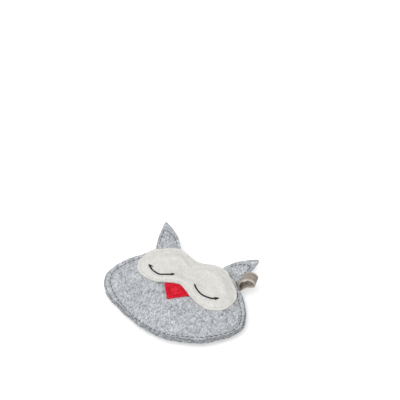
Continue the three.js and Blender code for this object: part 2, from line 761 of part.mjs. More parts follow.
loop.applyMatrix4(new THREE.Matrix4().makeBasis(outwards, upwards, alongRim));
loop.translate(-ribbonWidth / 2, 0, 0);
add('ribbon_loop', loop, beigeRibbon, ribbonFrame);

export default toy;
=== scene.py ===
# %% [markdown]
# # A felt owl for a cat
# The toy is a flat stuffed owl head, about as wide as a hand. Two grey felt panels are
# sewn together near their cut edges and stuffed. A pale felt mask with sleeping eyes and
# a red beak are sewn on the front, and two ears and a ribbon loop are caught in the seam.
# The script dresses the measured frame of the toy piece by piece, from the largest felt
# panel down to the single stitches and the loose fibres.

# %% Load the frame
import math
import random

import bmesh
import bpy
import numpy as np
from mathutils import Matrix, Vector, noise
from mathutils.bvhtree import BVHTree
from mathutils.kdtree import KDTree


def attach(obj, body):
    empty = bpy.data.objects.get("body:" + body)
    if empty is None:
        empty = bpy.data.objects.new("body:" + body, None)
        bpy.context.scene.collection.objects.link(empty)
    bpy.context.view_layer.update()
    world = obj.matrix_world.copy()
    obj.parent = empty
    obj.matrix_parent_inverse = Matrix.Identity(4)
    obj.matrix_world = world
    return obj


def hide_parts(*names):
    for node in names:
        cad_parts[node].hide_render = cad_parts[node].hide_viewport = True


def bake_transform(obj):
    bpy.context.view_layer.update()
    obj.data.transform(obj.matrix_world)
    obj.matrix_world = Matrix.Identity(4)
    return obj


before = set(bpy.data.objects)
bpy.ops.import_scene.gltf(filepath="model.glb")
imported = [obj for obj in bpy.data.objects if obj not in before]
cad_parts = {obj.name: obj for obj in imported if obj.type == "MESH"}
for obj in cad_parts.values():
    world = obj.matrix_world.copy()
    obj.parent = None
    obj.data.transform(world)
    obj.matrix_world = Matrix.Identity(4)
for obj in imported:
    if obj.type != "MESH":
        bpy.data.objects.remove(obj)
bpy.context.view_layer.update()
mm = 0.001


def placed(name, data):
    """A new object in the scene."""
    made = bpy.data.objects.new(name, data)
    bpy.context.scene.collection.objects.link(made)
    return made


# %% [markdown]
# ## Camera
# The toy was photographed from a little over half way between level and straight down,
# with a long lens, and it lies low and left of the middle of the picture. The camera
# could be placed by eye, but it is surer to work it out: the line of sight to the toy
# has a known direction, and the camera is turned until that line meets the picture at
# the right pixel. The picture is 400 pixels wide and high.

# %% Camera
picture_side = 400
lens_mm, sensor_mm = 300, 36
focal_pixels = lens_mm / sensor_mm * picture_side
sight_azimuth, sight_elevation = math.radians(30.6), math.radians(54.2)
pixels_per_metre = 1402
toy_pixel = (176.9, 297.7)
rim_height = 8.65 * mm
toy_middle = Vector((0, 0, rim_height))


def towards_camera(azimuth, elevation):
    flat = math.cos(elevation)
    return Vector((math.sin(azimuth) * flat, -math.cos(azimuth) * flat, math.sin(elevation)))


def camera_turn(azimuth, elevation):
    back = towards_camera(azimuth, elevation)
    right = Vector((math.cos(azimuth), math.sin(azimuth), 0))
    return Matrix((right, back.cross(right), back)).transposed()


offset = Vector((toy_pixel[0] - picture_side / 2, picture_side / 2 - toy_pixel[1], -focal_pixels))
azimuth, elevation = sight_azimuth, sight_elevation
for _ in range(20):
    seen = -(camera_turn(azimuth, elevation) @ offset).normalized()
    azimuth += sight_azimuth - math.atan2(seen.x, -seen.y)
    elevation += sight_elevation - math.asin(seen.z)
distance = offset.length / pixels_per_metre

camera = placed("camera", bpy.data.cameras.new("camera"))
camera.data.lens = lens_mm
camera.data.sensor_width = sensor_mm
camera.data.clip_start = 0.01
camera.location = toy_middle + towards_camera(sight_azimuth, sight_elevation) * distance
camera.rotation_euler = camera_turn(azimuth, elevation).to_euler()
bpy.context.scene.camera = camera
print("camera", round(distance, 3), "m away, elevation", round(math.degrees(elevation), 1))

# %% [markdown]
# ## Floor and light
# A pale floor carries a soft shadow. One large lamp high in front gives the felt its soft
# modelling, a weaker one at the left opens the shadows, and a pale surrounding light does
# the rest. The floor and the surroundings look plain white to the camera only, so the
# picture has a white ground without more light falling on the felt.

# %% Floor and light
def feed(tree, node, inputs):
    """Numbers and colours are set on a node's inputs, outputs of other nodes are linked."""
    for name, value in inputs.items():
        if isinstance(value, bpy.types.NodeSocket):
            tree.links.new(value, node.inputs[name])
        else:
            node.inputs[name].default_value = value
    return node


def add_node(tree, kind, inputs, **settings):
    node = tree.nodes.new(f"ShaderNode{kind}")
    for name, value in settings.items():
        setattr(node, name, value)
    return feed(tree, node, inputs)


white, off_white = (1, 1, 1, 1), (0.8, 0.8, 0.8, 1)
floor_lift, glow_strength = 0.3, 0.62
bm = bmesh.new()
bmesh.ops.create_grid(bm, x_segments=1, y_segments=1, size=3)
floor_mesh = bpy.data.meshes.new("floor")
bm.to_mesh(floor_mesh)
bm.free()
floor = placed("floor", floor_mesh)

floor_material = bpy.data.materials.new("pale_floor")
floor_material.use_nodes = True
tree = floor_material.node_tree
seen_directly = add_node(tree, "LightPath", {}).outputs["Is Camera Ray"]
floor_colours = {"Factor": seen_directly, "A": off_white, "B": white}
floor_colour = add_node(tree, "Mix", floor_colours, data_type="RGBA").outputs["Result"]
lift = add_node(tree, "Math", {0: seen_directly, 1: floor_lift}, operation="MULTIPLY").outputs["Value"]
floor_look = {"Base Color": floor_colour, "Roughness": 0.9}
floor_look |= {"Emission Color": white, "Emission Strength": lift}
feed(tree, tree.nodes["Principled BSDF"], floor_look)
floor_mesh.materials.append(floor_material)

world = bpy.data.worlds.new("studio")
bpy.context.scene.world = world
world.use_nodes = True
tree = world.node_tree
seen_directly = add_node(tree, "LightPath", {}).outputs["Is Camera Ray"]
studio_glow = feed(tree, tree.nodes["Background"], {"Color": white, "Strength": glow_strength})
white_ground = add_node(tree, "Background", {"Color": white, "Strength": 1})
glows = [node.outputs["Background"] for node in (studio_glow, white_ground)]
choose = add_node(tree, "MixShader", {0: seen_directly, 1: glows[0], 2: glows[1]})
feed(tree, tree.nodes["World Output"], {"Surface": choose.outputs["Shader"]})
bpy.context.scene.view_settings.view_transform = "Standard"


def lamp(name, azimuth, elevation, away, size, watts):
    light = bpy.data.lights.new(name, "AREA")
    light.size = size
    light.energy = watts
    lamp_object = placed(name, light)
    aim = towards_camera(math.radians(azimuth), math.radians(elevation))
    lamp_object.location = toy_middle + aim * away
    lamp_object.rotation_euler = aim.to_track_quat("Z", "Y").to_euler()


lamp("key_lamp", 2, 66, 1.1, 0.6, 5.4)
lamp("fill_lamp", -95, 35, 1.3, 0.9, 1.3)
print("two lamps and a pale surrounding light")

# %% [markdown]
# ## The owl's outline
# Every felt piece takes its shape from the same few curves: the rounded oval of the head
# with a dip in its crown, the seam a little inside it, and the swell of the stuffing. They
# could be drawn as separate splines, but then pieces would drift apart where they touch.
# So the curves are written once as functions, and every piece asks them where it lies.

# %% The owl's outline
half_width, crown_y, chin_y, widest_y = 54.5 * mm, 41.5 * mm, 35 * mm, -3 * mm
crown_fullness, chin_fullness = 1.66, 1.76
crown_dip = 7.6 * mm
left_dip_angle, right_dip_angle = math.radians(30), math.radians(38)
head_turn, face_turn = math.radians(3.8), math.radians(-2)
seam_inset, chin_seam_inset, chin_half_angle = 4.5 * mm, 2.4 * mm, math.radians(75)
felt = 1.5 * mm
touch = 0.3 * mm
front_swell, back_swell, swell_power = 7 * mm, 7.5 * mm, 0.7


def oval_radii(angles):
    low = np.zeros_like(angles)
    high = np.full_like(angles, half_width + crown_y)
    for _ in range(40):
        middle = (low + high) / 2
        y = middle * np.sin(angles) - widest_y
        height = np.where(y > 0, crown_y - widest_y, chin_y + widest_y)
        fullness = np.where(y > 0, crown_fullness, chin_fullness)
        across = np.abs(middle * np.cos(angles) / half_width) ** fullness
        outside = across + np.abs(y / height) ** fullness > 1
        high = np.where(outside, middle, high)
        low = np.where(outside, low, middle)
    dip_angle = np.where(angles > math.pi / 2, left_dip_angle, right_dip_angle)
    from_crown = np.clip(np.abs(angles - math.pi / 2) / dip_angle, 0, 1)
    return low - crown_dip * np.cos(from_crown * math.pi / 2) ** 2


round_angles = np.linspace(0, 2 * math.pi, 1441)
round_radii = oval_radii(round_angles)


def spoke(angle):
    return Vector((math.cos(angle), math.sin(angle)))


def edge_radius(angle):
    return float(np.interp((angle - head_turn) % (2 * math.pi), round_angles, round_radii))


def edge_point(angle, inset=0.0):
    radius = edge_radius(angle) - inset
    return Vector((radius * math.cos(angle), radius * math.sin(angle)))


def seam_inset_at(angle):
    """How far the seam lies inside the cut edge, which is less under the chin."""
    own = angle - head_turn
    turn = abs(math.atan2(math.cos(own), -math.sin(own)))
    from_chin = min(turn / chin_half_angle, 1)
    return seam_inset + (chin_seam_inset - seam_inset) * math.cos(from_chin * math.pi / 2) ** 2


def seam_radius(angle):
    return edge_radius(angle) - seam_inset_at(angle)


def edge_angle_at(away, side):
    """The angle at which the upper edge is a given distance to one side."""
    low, high = (0.0 if side > 0 else math.pi), math.pi / 2
    for _ in range(40):
        middle = (low + high) / 2
        low, high = (middle, high) if side * edge_point(middle).x > away else (low, middle)
    return (low + high) / 2


def smooth_step(value, start, end):
    t = min(max((value - start) / (end - start), 0), 1)
    return t * t * (3 - 2 * t)


print("head outline", round(2 * edge_radius(0) / mm, 1), "mm wide at the origin")

# %% [markdown]
# ## Where things are sewn in
# Each ear and the ribbon enter the seam along a short straight line. The two panels part
# a little there to let them in, which shows from the side as a thicker place in the rim.
# The three places are worked out once, and the panels and the pieces both use them.

# %% Where things are sewn in
left_ear_base = (0.327 * half_width, 0.615 * half_width)
right_ear_base = (0.281 * half_width, 0.55 * half_width)
ear_half = felt + touch / 2
ribbon_thickness = 0.4 * mm
ribbon_half = ribbon_thickness + touch / 2
ribbon_width = 7 * mm
ribbon_gap = 0.4 * mm


class SewnPlace:
    """A base line on the rim: x runs along it, y outwards, z up, from its hinge."""

    def __init__(self, first, last, side, half):
        a, b = first, last
        self.side, self.half, self.width = side, half, (b - a).length
        along = (b - a).normalized()
        self.out = Vector((-side * along.y, side * along.x))
        self.along = Vector((self.out.y, -self.out.x))
        self.middle = (a + b) / 2
        start, end = math.atan2(a.y, a.x), math.atan2(b.y, b.x)
        arc = [edge_point(start + (end - start) * i / 72) - self.middle for i in range(73)]
        self.bulge = max(0, *(p.dot(self.out) for p in arc))
        self.hinge = self.middle + self.out * (self.bulge + touch + half)

    def at(self, x, y, z=0.0):
        flat = self.hinge + self.along * x + self.out * y
        return Vector((flat.x, flat.y, rim_height + z))


def ear_place(base, side):
    first, last = (edge_point(edge_angle_at(away, side)) for away in base)
    return SewnPlace(first, last, side, ear_half)


ribbon_angle = edge_angle_at(right_ear_base[1] + ribbon_gap, 1)
ribbon_first = edge_point(ribbon_angle)
while (edge_point(ribbon_angle) - ribbon_first).length < ribbon_width:
    ribbon_angle -= math.pi / 2000
places = {
    "left_ear": ear_place(left_ear_base, -1),
    "right_ear": ear_place(right_ear_base, 1),
    "ribbon": SewnPlace(ribbon_first, edge_point(ribbon_angle), 1, ribbon_half),
}


def half_gap(x, y, share):
    """Half the distance between the two panels at a point."""
    point = Vector((x, y))
    extra = 0.0
    for place in places.values():
        if point.dot(place.out) < 0:
            continue
        off = abs((point - place.middle).dot(place.along)) - place.width / 2
        reach = 1 - smooth_step(off, 2 * mm, 12 * mm)
        extra = max(extra, (place.half + touch / 2) * reach)
    return touch / 2 + extra * smooth_step(share, 0.7, 0.84)


for name, place in places.items():
    hinge = [round(c / mm, 2) for c in place.at(0, 0)]
    print(name, "is sewn in over", round(place.width / mm, 1), "mm, hinge at", hinge)

# %% [markdown]
# ## The swell
# The stuffing pushes each panel up inside its seam. A formula gives a smooth cushion, but
# real felt also puckers, because the sheet is a little too large for the seam that holds
# it. So a plain grid of cloth is pinned along the seam and everywhere outside it, allowed
# to grow a little, and blown up with air. What comes out is kept as a height for every
# point, and the felt pieces are laid on it later.

# %% The swell
def seam_share(x, y):
    return math.hypot(x, y) / seam_radius(math.atan2(y, x))


def swell(share):
    return max(1 - share * share, 0) ** swell_power


cloth_cell = 2 * mm
start_share, growth, least_move, most_move = 0.62, 0.022, 0.5 * mm, 2.2 * mm


def blown_up(sheet, side):
    """Runs the cloth on the grid and returns the swelled mesh."""
    mesh = bpy.data.meshes.new("cushion")
    sheet.to_mesh(mesh)
    cushion = placed("cushion", mesh)
    pins = cushion.vertex_groups.new(name="seam")
    held = [v.index for v in mesh.vertices if seam_share(v.co.x, v.co.y) > 0.999]
    pins.add(held, 1.0, "REPLACE")
    cloth = cushion.modifiers.new("cloth", "CLOTH")
    settings = cloth.settings
    settings.quality = 8
    settings.mass = 0.2
    settings.tension_stiffness = settings.compression_stiffness = 12
    settings.shear_stiffness = 4
    settings.bending_stiffness = 0.05
    settings.use_pressure = True
    settings.uniform_pressure_force = 4 * side
    settings.shrink_min = -growth
    settings.vertex_group_mass = "seam"
    settings.effector_weights.gravity = 0
    cloth.collision_settings.use_collision = False
    smooth = cushion.modifiers.new("smooth", "SUBSURF")
    smooth.levels = smooth.render_levels = 1
    for step in range(1, 21):
        bpy.context.scene.frame_set(step)
    done = cushion.evaluated_get(bpy.context.evaluated_depsgraph_get()).to_mesh()
    heights = bmesh.new()
    heights.from_mesh(done)
    bpy.data.objects.remove(cushion)
    bpy.context.scene.frame_set(1)
    return heights


def cushion_heights(height, side):
    """A tree that tells how far a panel swells at a point."""
    sheet = bmesh.new()
    wide, deep = int(2 * half_width / cloth_cell), int((crown_y + chin_y) / cloth_cell) + 2
    bmesh.ops.create_grid(sheet, x_segments=wide, y_segments=deep, size=0.5)
    middle_y = (crown_y - chin_y) / 2
    for v in sheet.verts:
        x, y = v.co.x * wide * cloth_cell, v.co.y * deep * cloth_cell + middle_y
        share = seam_share(x, y)
        seam = math.hypot(x, y) / share if share else 1
        if abs(share - 1) * seam < cloth_cell / 2:
            x, y, share = x / share, y / share, 1.0
        started = start_share
        v.co = Vector((x, y, side * height * swell(min(share, 1)) * started))
    heights = sheet
    heights = blown_up(sheet, side)
    inner = [v for v in heights.verts if seam_share(v.co.x, v.co.y) < 0.97]
    levels = {v: height * swell(seam_share(v.co.x, v.co.y)) for v in inner}
    wanted = sum(levels.values()) / sum(side * v.co.z for v in inner)
    moves = [side * v.co.z * wanted - levels[v] for v in inner]
    print("the cloth rose to", round(1 / wanted, 2), "of the height, and strays by", end=" ")
    print(round(min(moves) / mm, 2), "to", round(max(moves) / mm, 2), "mm")
    for v, move in zip(inner, moves):
        v.co.z = side * (levels[v] + min(max(move, -least_move), most_move))
    tree = BVHTree.FromBMesh(heights)
    top = max(side * v.co.z for v in heights.verts)
    print("cushion side", side, "rises", round(top / mm, 1), "mm")
    return tree


def rise(tree, x, y):
    hit = tree.ray_cast(Vector((x, y, 1)), Vector((0, 0, -1)))[0]
    return hit.z if hit else 0.0


front_cushion = cushion_heights(front_swell, 1)
back_cushion = cushion_heights(back_swell, -1)

# %% [markdown]
# ## Wrinkles, creases and the seam's groove
# Finer marks than the cloth grid can show are added by noise: short puckers along the
# seam, shallow dents where the stuffing is thin, and the few long creases of the left
# cheek. The seam pulls the felt down into a narrow groove.

# %% Wrinkles, creases and the seam's groove
def puckers(x, y, share, seed):
    """Height of the small wrinkles at a point, added outwards."""
    angle = math.atan2(y, x)
    seam = seam_radius(angle)
    inside = max(1 - share, 0) * seam
    round_rim = Vector((math.cos(angle), math.sin(angle) * 0.8, seed))
    short = noise.noise(round_rim * 12) * math.exp(-inside / (4.5 * mm)) * 0.5 * mm
    short *= 1 if share < 1 else max(0, 1 - (share - 1) * seam / (4 * mm)) * 0.8
    broad = noise.noise(Vector((x, y, seed * 5 * mm)) / (17 * mm)) * 0.6 * mm
    small = noise.noise(Vector((x, y, seed * 9 * mm)) / (6.5 * mm)) * 0.22 * mm
    return short + (broad + small) * min(inside / (9 * mm), 1)


# Each crease runs through its points and is as deep and as wide as is said, all in mm.
creases = [
    ([(-31.5, -6.9), (-29.5, -10.7), (-29.5, -14.4), (-28.5, -18.3), (-25.9, -23)], 1.5, 1.1),
    ([(-25.4, -22.5), (-21.4, -18.3), (-19, -16.9), (-17.6, -13.6)], 1.3, 1.1),
    ([(-44, -10.9), (-40.2, -4.8)], 1.0, 0.9),
    ([(-38.3, -15), (-33.9, -9.8)], 1.0, 0.9),
    ([(-40.5, -19.6), (-36.9, -14.6)], 0.8, 1.0),
    ([(-21.8, -4.3), (-18.1, -9.2), (-12.9, -13.1)], 0.9, 1.0),
    ([(-14.6, -7.4), (-9.7, -5.9)], 0.7, 0.8),
    ([(-14.6, -24.3), (-7.1, -24.3)], 0.7, 1.0),
    ([(-29.2, -24.7), (-21.1, -28.6)], 0.8, 1.0),
    ([(-17.5, -30.5), (-9.7, -34)], 0.4, 0.9),
    ([(-50, 8), (-46, -2), (-40, -12)], 0.4, 2.2),
    ([(30, -22), (38, -17), (44, -9)], 0.4, 2.4),
]
crease_lines = [(np.array(line) * mm, depth * mm, width * mm) for line, depth, width in creases]


def crease_depth(x, y):
    """A crease is a sharp valley between two low shoulders, fading out at its ends."""
    total = 0.0
    for line, depth, width in crease_lines:
        if abs(line[:, 0] - x).min() > 12 * mm or abs(line[:, 1] - y).min() > 12 * mm:
            continue
        step, to_point = line[1:] - line[:-1], np.array((x, y)) - line[:-1]
        t = np.clip((to_point * step).sum(1) / (step**2).sum(1), 0, 1)
        offs = np.hypot(*(to_point - step * t[:, None]).T)
        nearest = int(offs.argmin())
        along = (nearest + t[nearest]) / len(step)
        off = offs[nearest] / width
        valley = math.exp(-(off**2)) - 0.5 * math.exp(-((off / 2.6) ** 2))
        total += depth * math.sin(math.pi * min(max(along, 0.03), 0.97)) ** 0.5 * valley
    return total


seam_offset = 0.6 * mm


def seam_groove(x, y, share):
    off = (share - 1) * seam_radius(math.atan2(y, x)) - seam_offset
    return 0.5 * mm * math.exp(-((off / (0.8 * mm)) ** 2))


def rim_spread(x, y, share, seed):
    """How far the cut edges of the two layers gape outside the seam."""
    angle = math.atan2(y, x)
    out = min(max((share - 1) * seam_radius(angle) / seam_inset_at(angle), 0), 1.15)
    wave = noise.noise(Vector((math.cos(angle), math.sin(angle), seed)) * 5)
    return (0.42 + 0.45 * wave) * mm * out * out


def stuffing_tree(name):
    stuffing = bmesh.new()
    stuffing.from_mesh(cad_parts[name].data)
    return BVHTree.FromBMesh(stuffing)


front_stuffing, back_stuffing = stuffing_tree("front_wadding"), stuffing_tree("back_wadding")


def kept_outside(level, stuffing, x, y, side):
    """The stuffing gives way a little under a crease, but never comes through the felt."""
    start = Vector((x + 0.013 * mm, y + 0.007 * mm, side))
    hit = stuffing.ray_cast(start, Vector((0, 0, -side)))[0]
    if hit is None:
        return level
    least = side * hit.z + 0.9 * mm
    return (level + least + math.hypot(level - least, 0.15 * mm)) / 2


def front_top(x, y):
    """Height of the front panel's outer face."""
    share = seam_share(x, y)
    level = rim_height + half_gap(x, y, share) + felt + rise(front_cushion, x, y)
    level += rim_spread(x, y, share, 2.2) + 0.35 * mm * smooth_step(1 - share, 0, 0.12)
    level += puckers(x, y, share, 3.1) - crease_depth(x, y) - seam_groove(x, y, share)
    return kept_outside(level, front_stuffing, x, y, 1)


def back_bottom(x, y):
    """Height of the back panel's outer face, flat where the toy lies on it."""
    share = seam_share(x, y)
    level = rim_height - half_gap(x, y, share) - felt + rise(back_cushion, x, y)
    level -= rim_spread(x, y, share, 7.1)
    level += puckers(x, y, share, 8.7) + seam_groove(x, y, share)
    return max(-kept_outside(-level, back_stuffing, x, y, -1), 0)


print("front panel", round(front_top(0, 0) / mm, 1), "mm above the floor in its middle")

# %% [markdown]
# ## Felt
# Felt has no weave. It is a mat of fibres in every direction, so a grey melange felt shows
# pale and dark hairs side by side, cloudy patches where they bunch, and a soft edge of
# light where loose fibres stand up. Noise textures at several sizes mix the fibre colours,
# a bent noise makes the hairs, the same hairs drive the bump, and sheen gives the nap. Near
# the cut edge it is painted darker in patches, as painted shade for the gap between layers.

# %% Felt
class Finish:
    """A material, and the few shader nodes that all its colours and bumps are made of."""

    def __init__(self, name, roughness, sheen=0.0, sheen_roughness=0.5):
        self.material = bpy.data.materials.new(name)
        self.material.use_nodes = True
        self.tree = self.material.node_tree
        self.shade({"Roughness": roughness, "Specular IOR Level": 0.25})
        self.shade({"Sheen Weight": sheen, "Sheen Roughness": sheen_roughness})

    def shade(self, inputs):
        feed(self.tree, self.tree.nodes["Principled BSDF"], inputs)

    def place(self):
        return add_node(self.tree, "TexCoord", {}).outputs["Object"]

    def noise(self, vector, scale, detail=2.0, roughness=0.5, distortion=0.0):
        inputs = {"Vector": vector, "Scale": scale, "Detail": detail}
        inputs |= {"Roughness": roughness, "Distortion": distortion}
        return add_node(self.tree, "TexNoise", inputs).outputs["Fac"]

    def stretch(self, vector, turn, scale):
        inputs = {"Vector": vector, "Rotation": turn, "Scale": scale}
        return add_node(self.tree, "Mapping", inputs).outputs["Vector"]

    def sum(self, operation, first, second):
        return add_node(self.tree, "Math", {0: first, 1: second}, operation=operation).outputs["Value"]

    def map(self, value, start, end, low=0.0, high=1.0, kind="LINEAR"):
        inputs = {"Value": value, "From Min": start, "From Max": end, "To Min": low, "To Max": high}
        return add_node(self.tree, "MapRange", inputs, interpolation_type=kind).outputs["Result"]

    def ramp(self, value, stops):
        node = add_node(self.tree, "ValToRGB", {"Fac": value})
        while len(node.color_ramp.elements) < len(stops):
            node.color_ramp.elements.new(0.5)
        for element, (place, colour) in zip(node.color_ramp.elements, stops):
            element.position = place
            element.color = (*colour, 1)
        return node.outputs["Color"]

    def blend(self, factor, first, second):
        inputs = {"Factor": factor, "A": first, "B": (*second, 1)}
        return add_node(self.tree, "Mix", inputs, data_type="RGBA").outputs["Result"]

    def fibres(self, place, turn, scale, width, strength):
        """Thin winding lines, where a stretched noise passes its middle value."""
        stretched = self.stretch(place, turn, (scale, scale * 0.4, scale * 0.7))
        value = self.noise(stretched, 1, 2, 0.45, 1.2)
        off = self.sum("ABSOLUTE", self.sum("SUBTRACT", value, 0.5), 0)
        return self.map(off, 0, width, strength, 0, "SMOOTHSTEP")

    def bump(self, height, strength, distance):
        inputs = {"Strength": strength, "Distance": distance, "Height": height}
        self.shade({"Normal": add_node(self.tree, "Bump", inputs).outputs["Normal"]})


def felt_finish(name, dark, middle, light, spread, sheen=0.12):
    felt = Finish(name, 0.95, sheen, 0.4)
    place = felt.place()
    clouds = felt.noise(place, 240, 2, 0.6)
    mottle = felt.noise(felt.stretch(place, (0, 0, 0.5), (1, 0.6, 0.8)), 980, 3, 0.6, 0.8)
    mixed = felt.sum("ADD", felt.sum("MULTIPLY", clouds, 0.25), felt.sum("MULTIPLY", mottle, 0.75))
    colour = felt.ramp(mixed, [(0.5 - spread, dark), (0.5, middle), (0.5 + spread, light)])
    bright = felt.fibres(place, (0.2, 0.4, 0.3), 760, 0.035, 0.5)
    dim = felt.fibres(place, (0.5, 0.1, 1.9), 640, 0.03, 0.5)
    fine = felt.fibres(place, (0.9, 0.3, 2.8), 1300, 0.05, 0.4)
    for hairs, hair_colour in ((dim, dark), (bright, light), (fine, light)):
        colour = felt.blend(hairs, colour, hair_colour)
    # Painted shade: near the cut edge the colour is pulled in patches towards the dark fibre colour. It
    # stands in for the shade in the gap between the two layers at the rim.
    painted_edge_shade = add_node(felt.tree, "Attribute", {}, attribute_name="painted_edge_shade").outputs["Fac"]
    edge_shade_patches = felt.ramp(felt.noise(place, 620, 1), [(0.42, (0.85,) * 3), (0.58, (0.1,) * 3)])
    colour = felt.blend(felt.sum("MULTIPLY", painted_edge_shade, edge_shade_patches), colour, dark)
    felt.shade({"Base Color": colour})
    felt.bump(felt.sum("ADD", felt.sum("ADD", mottle, bright), fine), 0.5, 0.3 * mm)
    return felt.material


grey_felt = felt_finish("grey_felt", (0.18, 0.19, 0.205), (0.46, 0.48, 0.505), (0.76, 0.785, 0.815), 0.13)
pale_felt = felt_finish("pale_felt", (0.66, 0.65, 0.615), (0.78, 0.77, 0.735), (0.86, 0.85, 0.82), 0.14)
red_felt = felt_finish("red_felt", (0.47, 0.002, 0.009), (0.69, 0.004, 0.02), (0.88, 0.03, 0.06), 0.1, 0.02)
print("three felts: grey melange, pale and red")

# %% [markdown]
# ## The two grey panels
# Each panel is one piece of felt, thick and soft, with a raw cut edge. A grid of rings
# suits it better than a square grid, because the seam, the groove and the puckers all run
# round the rim. A small disc is made and its edge is extruded ring by ring, each point is
# moved to its place on the swell, and the sheet then gets its thickness and a soft edge.

# %% The two grey panels
def ring_sheet(rings, sectors):
    """A flat disc of rings: the radius of a point is its ring's value."""
    sheet = bmesh.new()
    bmesh.ops.create_circle(sheet, cap_ends=True, cap_tris=True, segments=sectors, radius=rings[0])
    edge = [e for e in sheet.edges if e.is_boundary]
    for inner, outer in zip(rings, rings[1:]):
        grown = bmesh.ops.extrude_edge_only(sheet, edges=edge)["geom"]
        ring = [g for g in grown if isinstance(g, bmesh.types.BMVert)]
        bmesh.ops.scale(sheet, vec=Vector((outer / inner, outer / inner, 1)), verts=ring)
        edge = [g for g in grown if isinstance(g, bmesh.types.BMEdge) and g.is_boundary]
    bmesh.ops.recalc_face_normals(sheet, faces=sheet.faces)
    if sheet.faces[:][0].normal.z < 0:
        bmesh.ops.reverse_faces(sheet, faces=sheet.faces)
    return sheet


def thicken(sheet, thickness, edge_round):
    """Gives a sheet its wall, below its face, and rounds the cut edge."""
    bmesh.ops.solidify(sheet, geom=sheet.faces[:], thickness=thickness)
    sheet.normal_update()
    sharp = [e for e in sheet.edges if len(e.link_faces) == 2 and e.calc_face_angle(0) > 1.0]
    rounding = {"affect": "EDGES", "segments": 3, "profile": 0.5, "material": -1}
    bmesh.ops.bevel(sheet, geom=sharp, offset=edge_round, **rounding)


def piece_from(sheet, name, material, body):
    mesh = bpy.data.meshes.new(name)
    sheet.to_mesh(mesh)
    sheet.free()
    mesh.shade_smooth()
    mesh.materials.append(material)
    piece = placed(name, mesh)
    if body:
        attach(piece, body)
    print(name, "has", len(mesh.polygons), "faces")
    return piece


rim_sectors, swell_ring_count, flange_ring_count = 420, 52, 7
swell_rings = [1 - (1 - i / swell_ring_count) ** 1.2 for i in range(1, swell_ring_count + 1)]
flange_rings = [1 + i / flange_ring_count for i in range(1, flange_ring_count + 1)]

# The felt was cut by hand: at these angles, in degrees, the edge runs so many mm outside
# its pattern. The front layer was trimmed a little closer than the back one.
hand_cuts = [(0, -1.3), (15, -0.3), (30, 0.2), (70, 0), (110, 0.2), (150, -0.3), (170, -0.4)]
hand_cuts += [(190, 0.4), (206, 1.2), (212, 0.7), (218, -0.7), (240, -0.8), (262, -0.4)]
hand_cuts += [(280, 0), (300, 0.2), (324, 0), (333, -0.6), (341, -1.5), (356, -1.5), (360, -1.3)]
cut_angles, cut_offsets = zip(*hand_cuts)
edge_step = 0.8 * mm


def hand_cut(angle):
    return float(np.interp(math.degrees(angle) % 360, cut_angles, cut_offsets)) * mm


def cut_radius(angle, seed, side):
    """Where a panel's raw edge runs, with the unevenness of its cut."""
    rim = Vector((math.cos(angle), math.sin(angle), seed))
    cut = hand_cut(angle) - (edge_step if side > 0 else 0)
    uneven = noise.noise(rim * 9) * 0.4 + noise.noise(rim * 26) * 0.5
    return edge_radius(angle) + cut + uneven * mm


def head_panel(name, height, seed, side):
    panel = ring_sheet(swell_rings + flange_rings, rim_sectors)
    for v in panel.verts:
        ring, angle = v.co.xy.length, math.atan2(v.co.y, v.co.x)
        seam = seam_radius(angle)
        flange = cut_radius(angle, seed, side) - seam
        radius = seam * ring if ring <= 1 else seam + (ring - 1) * flange
        x, y = radius * math.cos(angle), radius * math.sin(angle)
        v.co = Vector((x, y, height(x, y)))
    if side < 0:
        bmesh.ops.reverse_faces(panel, faces=panel.faces)
    panel.normal_update()
    thicken(panel, felt, 0.3 * mm)
    # This layer marks a band along the cut edge where the felt's colour is painted darker, as painted shade
    # for the gap between the two layers.
    raw = panel.verts.layers.float.new("painted_edge_shade")
    for v in panel.verts:
        from_cut = cut_radius(math.atan2(v.co.y, v.co.x), seed, side) - v.co.xy.length
        v[raw] = 1 - smooth_step(from_cut, 0.1 * mm, 0.5 * mm)
    piece = piece_from(panel, name, grey_felt, "head")
    return piece


front_panel = head_panel("front_panel_felt", front_top, 1.3, 1)
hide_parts("front_panel")
back_panel = head_panel("back_panel_felt", back_bottom, 5.9, -1)
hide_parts("back_panel")

# %% [markdown]
# ## The mask
# The mask is thinner pale felt in the shape of a pair of spectacles: two round lobes, a
# bridge with a notch under it, and a top that is the head's own edge. Its rim is pressed
# down by a line of stitches. It is star-shaped seen from its middle, so the same disc of
# rings serves, stretched to the mask's outline in every direction.

# %% The mask
mask_felt, beak_felt = 1.2 * mm, 1.2 * mm
lobe_x, lobe_y, lobe_half_width, lobe_half_height = 20.9 * mm, 13.5 * mm, 17.7 * mm, 15.8 * mm
lobe_fullness = 2.43
shoulder_angle, peak_y = math.radians(55), 51 * mm
notch_y, notch_half_width = 4.5 * mm, 9 * mm
mask_middle = Vector((0, 17 * mm))
mask_rim_inset = 0.8 * mm


def on_head(point):
    """Mask, beak and eyes are drawn upright, then turned with the face."""
    c, s = math.cos(face_turn), math.sin(face_turn)
    return Vector((point.x * c - point.y * s, point.x * s + point.y * c))


def circle_corners(sides):
    turns = [2 * math.pi * k / sides for k in range(sides)]
    return [(math.cos(turn), math.sin(turn)) for turn in turns]


def lobe_point(angle, inset):
    c, s = math.cos(angle), math.sin(angle)
    power = 2 / lobe_fullness
    return Vector(
        (
            lobe_x + (lobe_half_width - inset) * math.copysign(abs(c) ** power, c),
            lobe_y + (lobe_half_height - inset) * math.copysign(abs(s) ** power, s),
        )
    )


def mask_outline(inset=0.0, steps=60):
    """The mask's edge, from the notch round the right lobe to its peak, and back."""
    reach = min(max((lobe_x - notch_half_width) / (lobe_half_width - inset), 0), 1)
    first = -math.pi + math.acos(reach ** (lobe_fullness / 2))
    arc = [first + (shoulder_angle - first) * i / steps for i in range(steps + 1)]
    right = [Vector((0, notch_y + inset))] + [lobe_point(angle, inset) for angle in arc]
    left = [Vector((-p.x, p.y)) for p in reversed(right)]
    return [on_head(p) for p in right + [Vector((0, peak_y))] + left[:-1]]


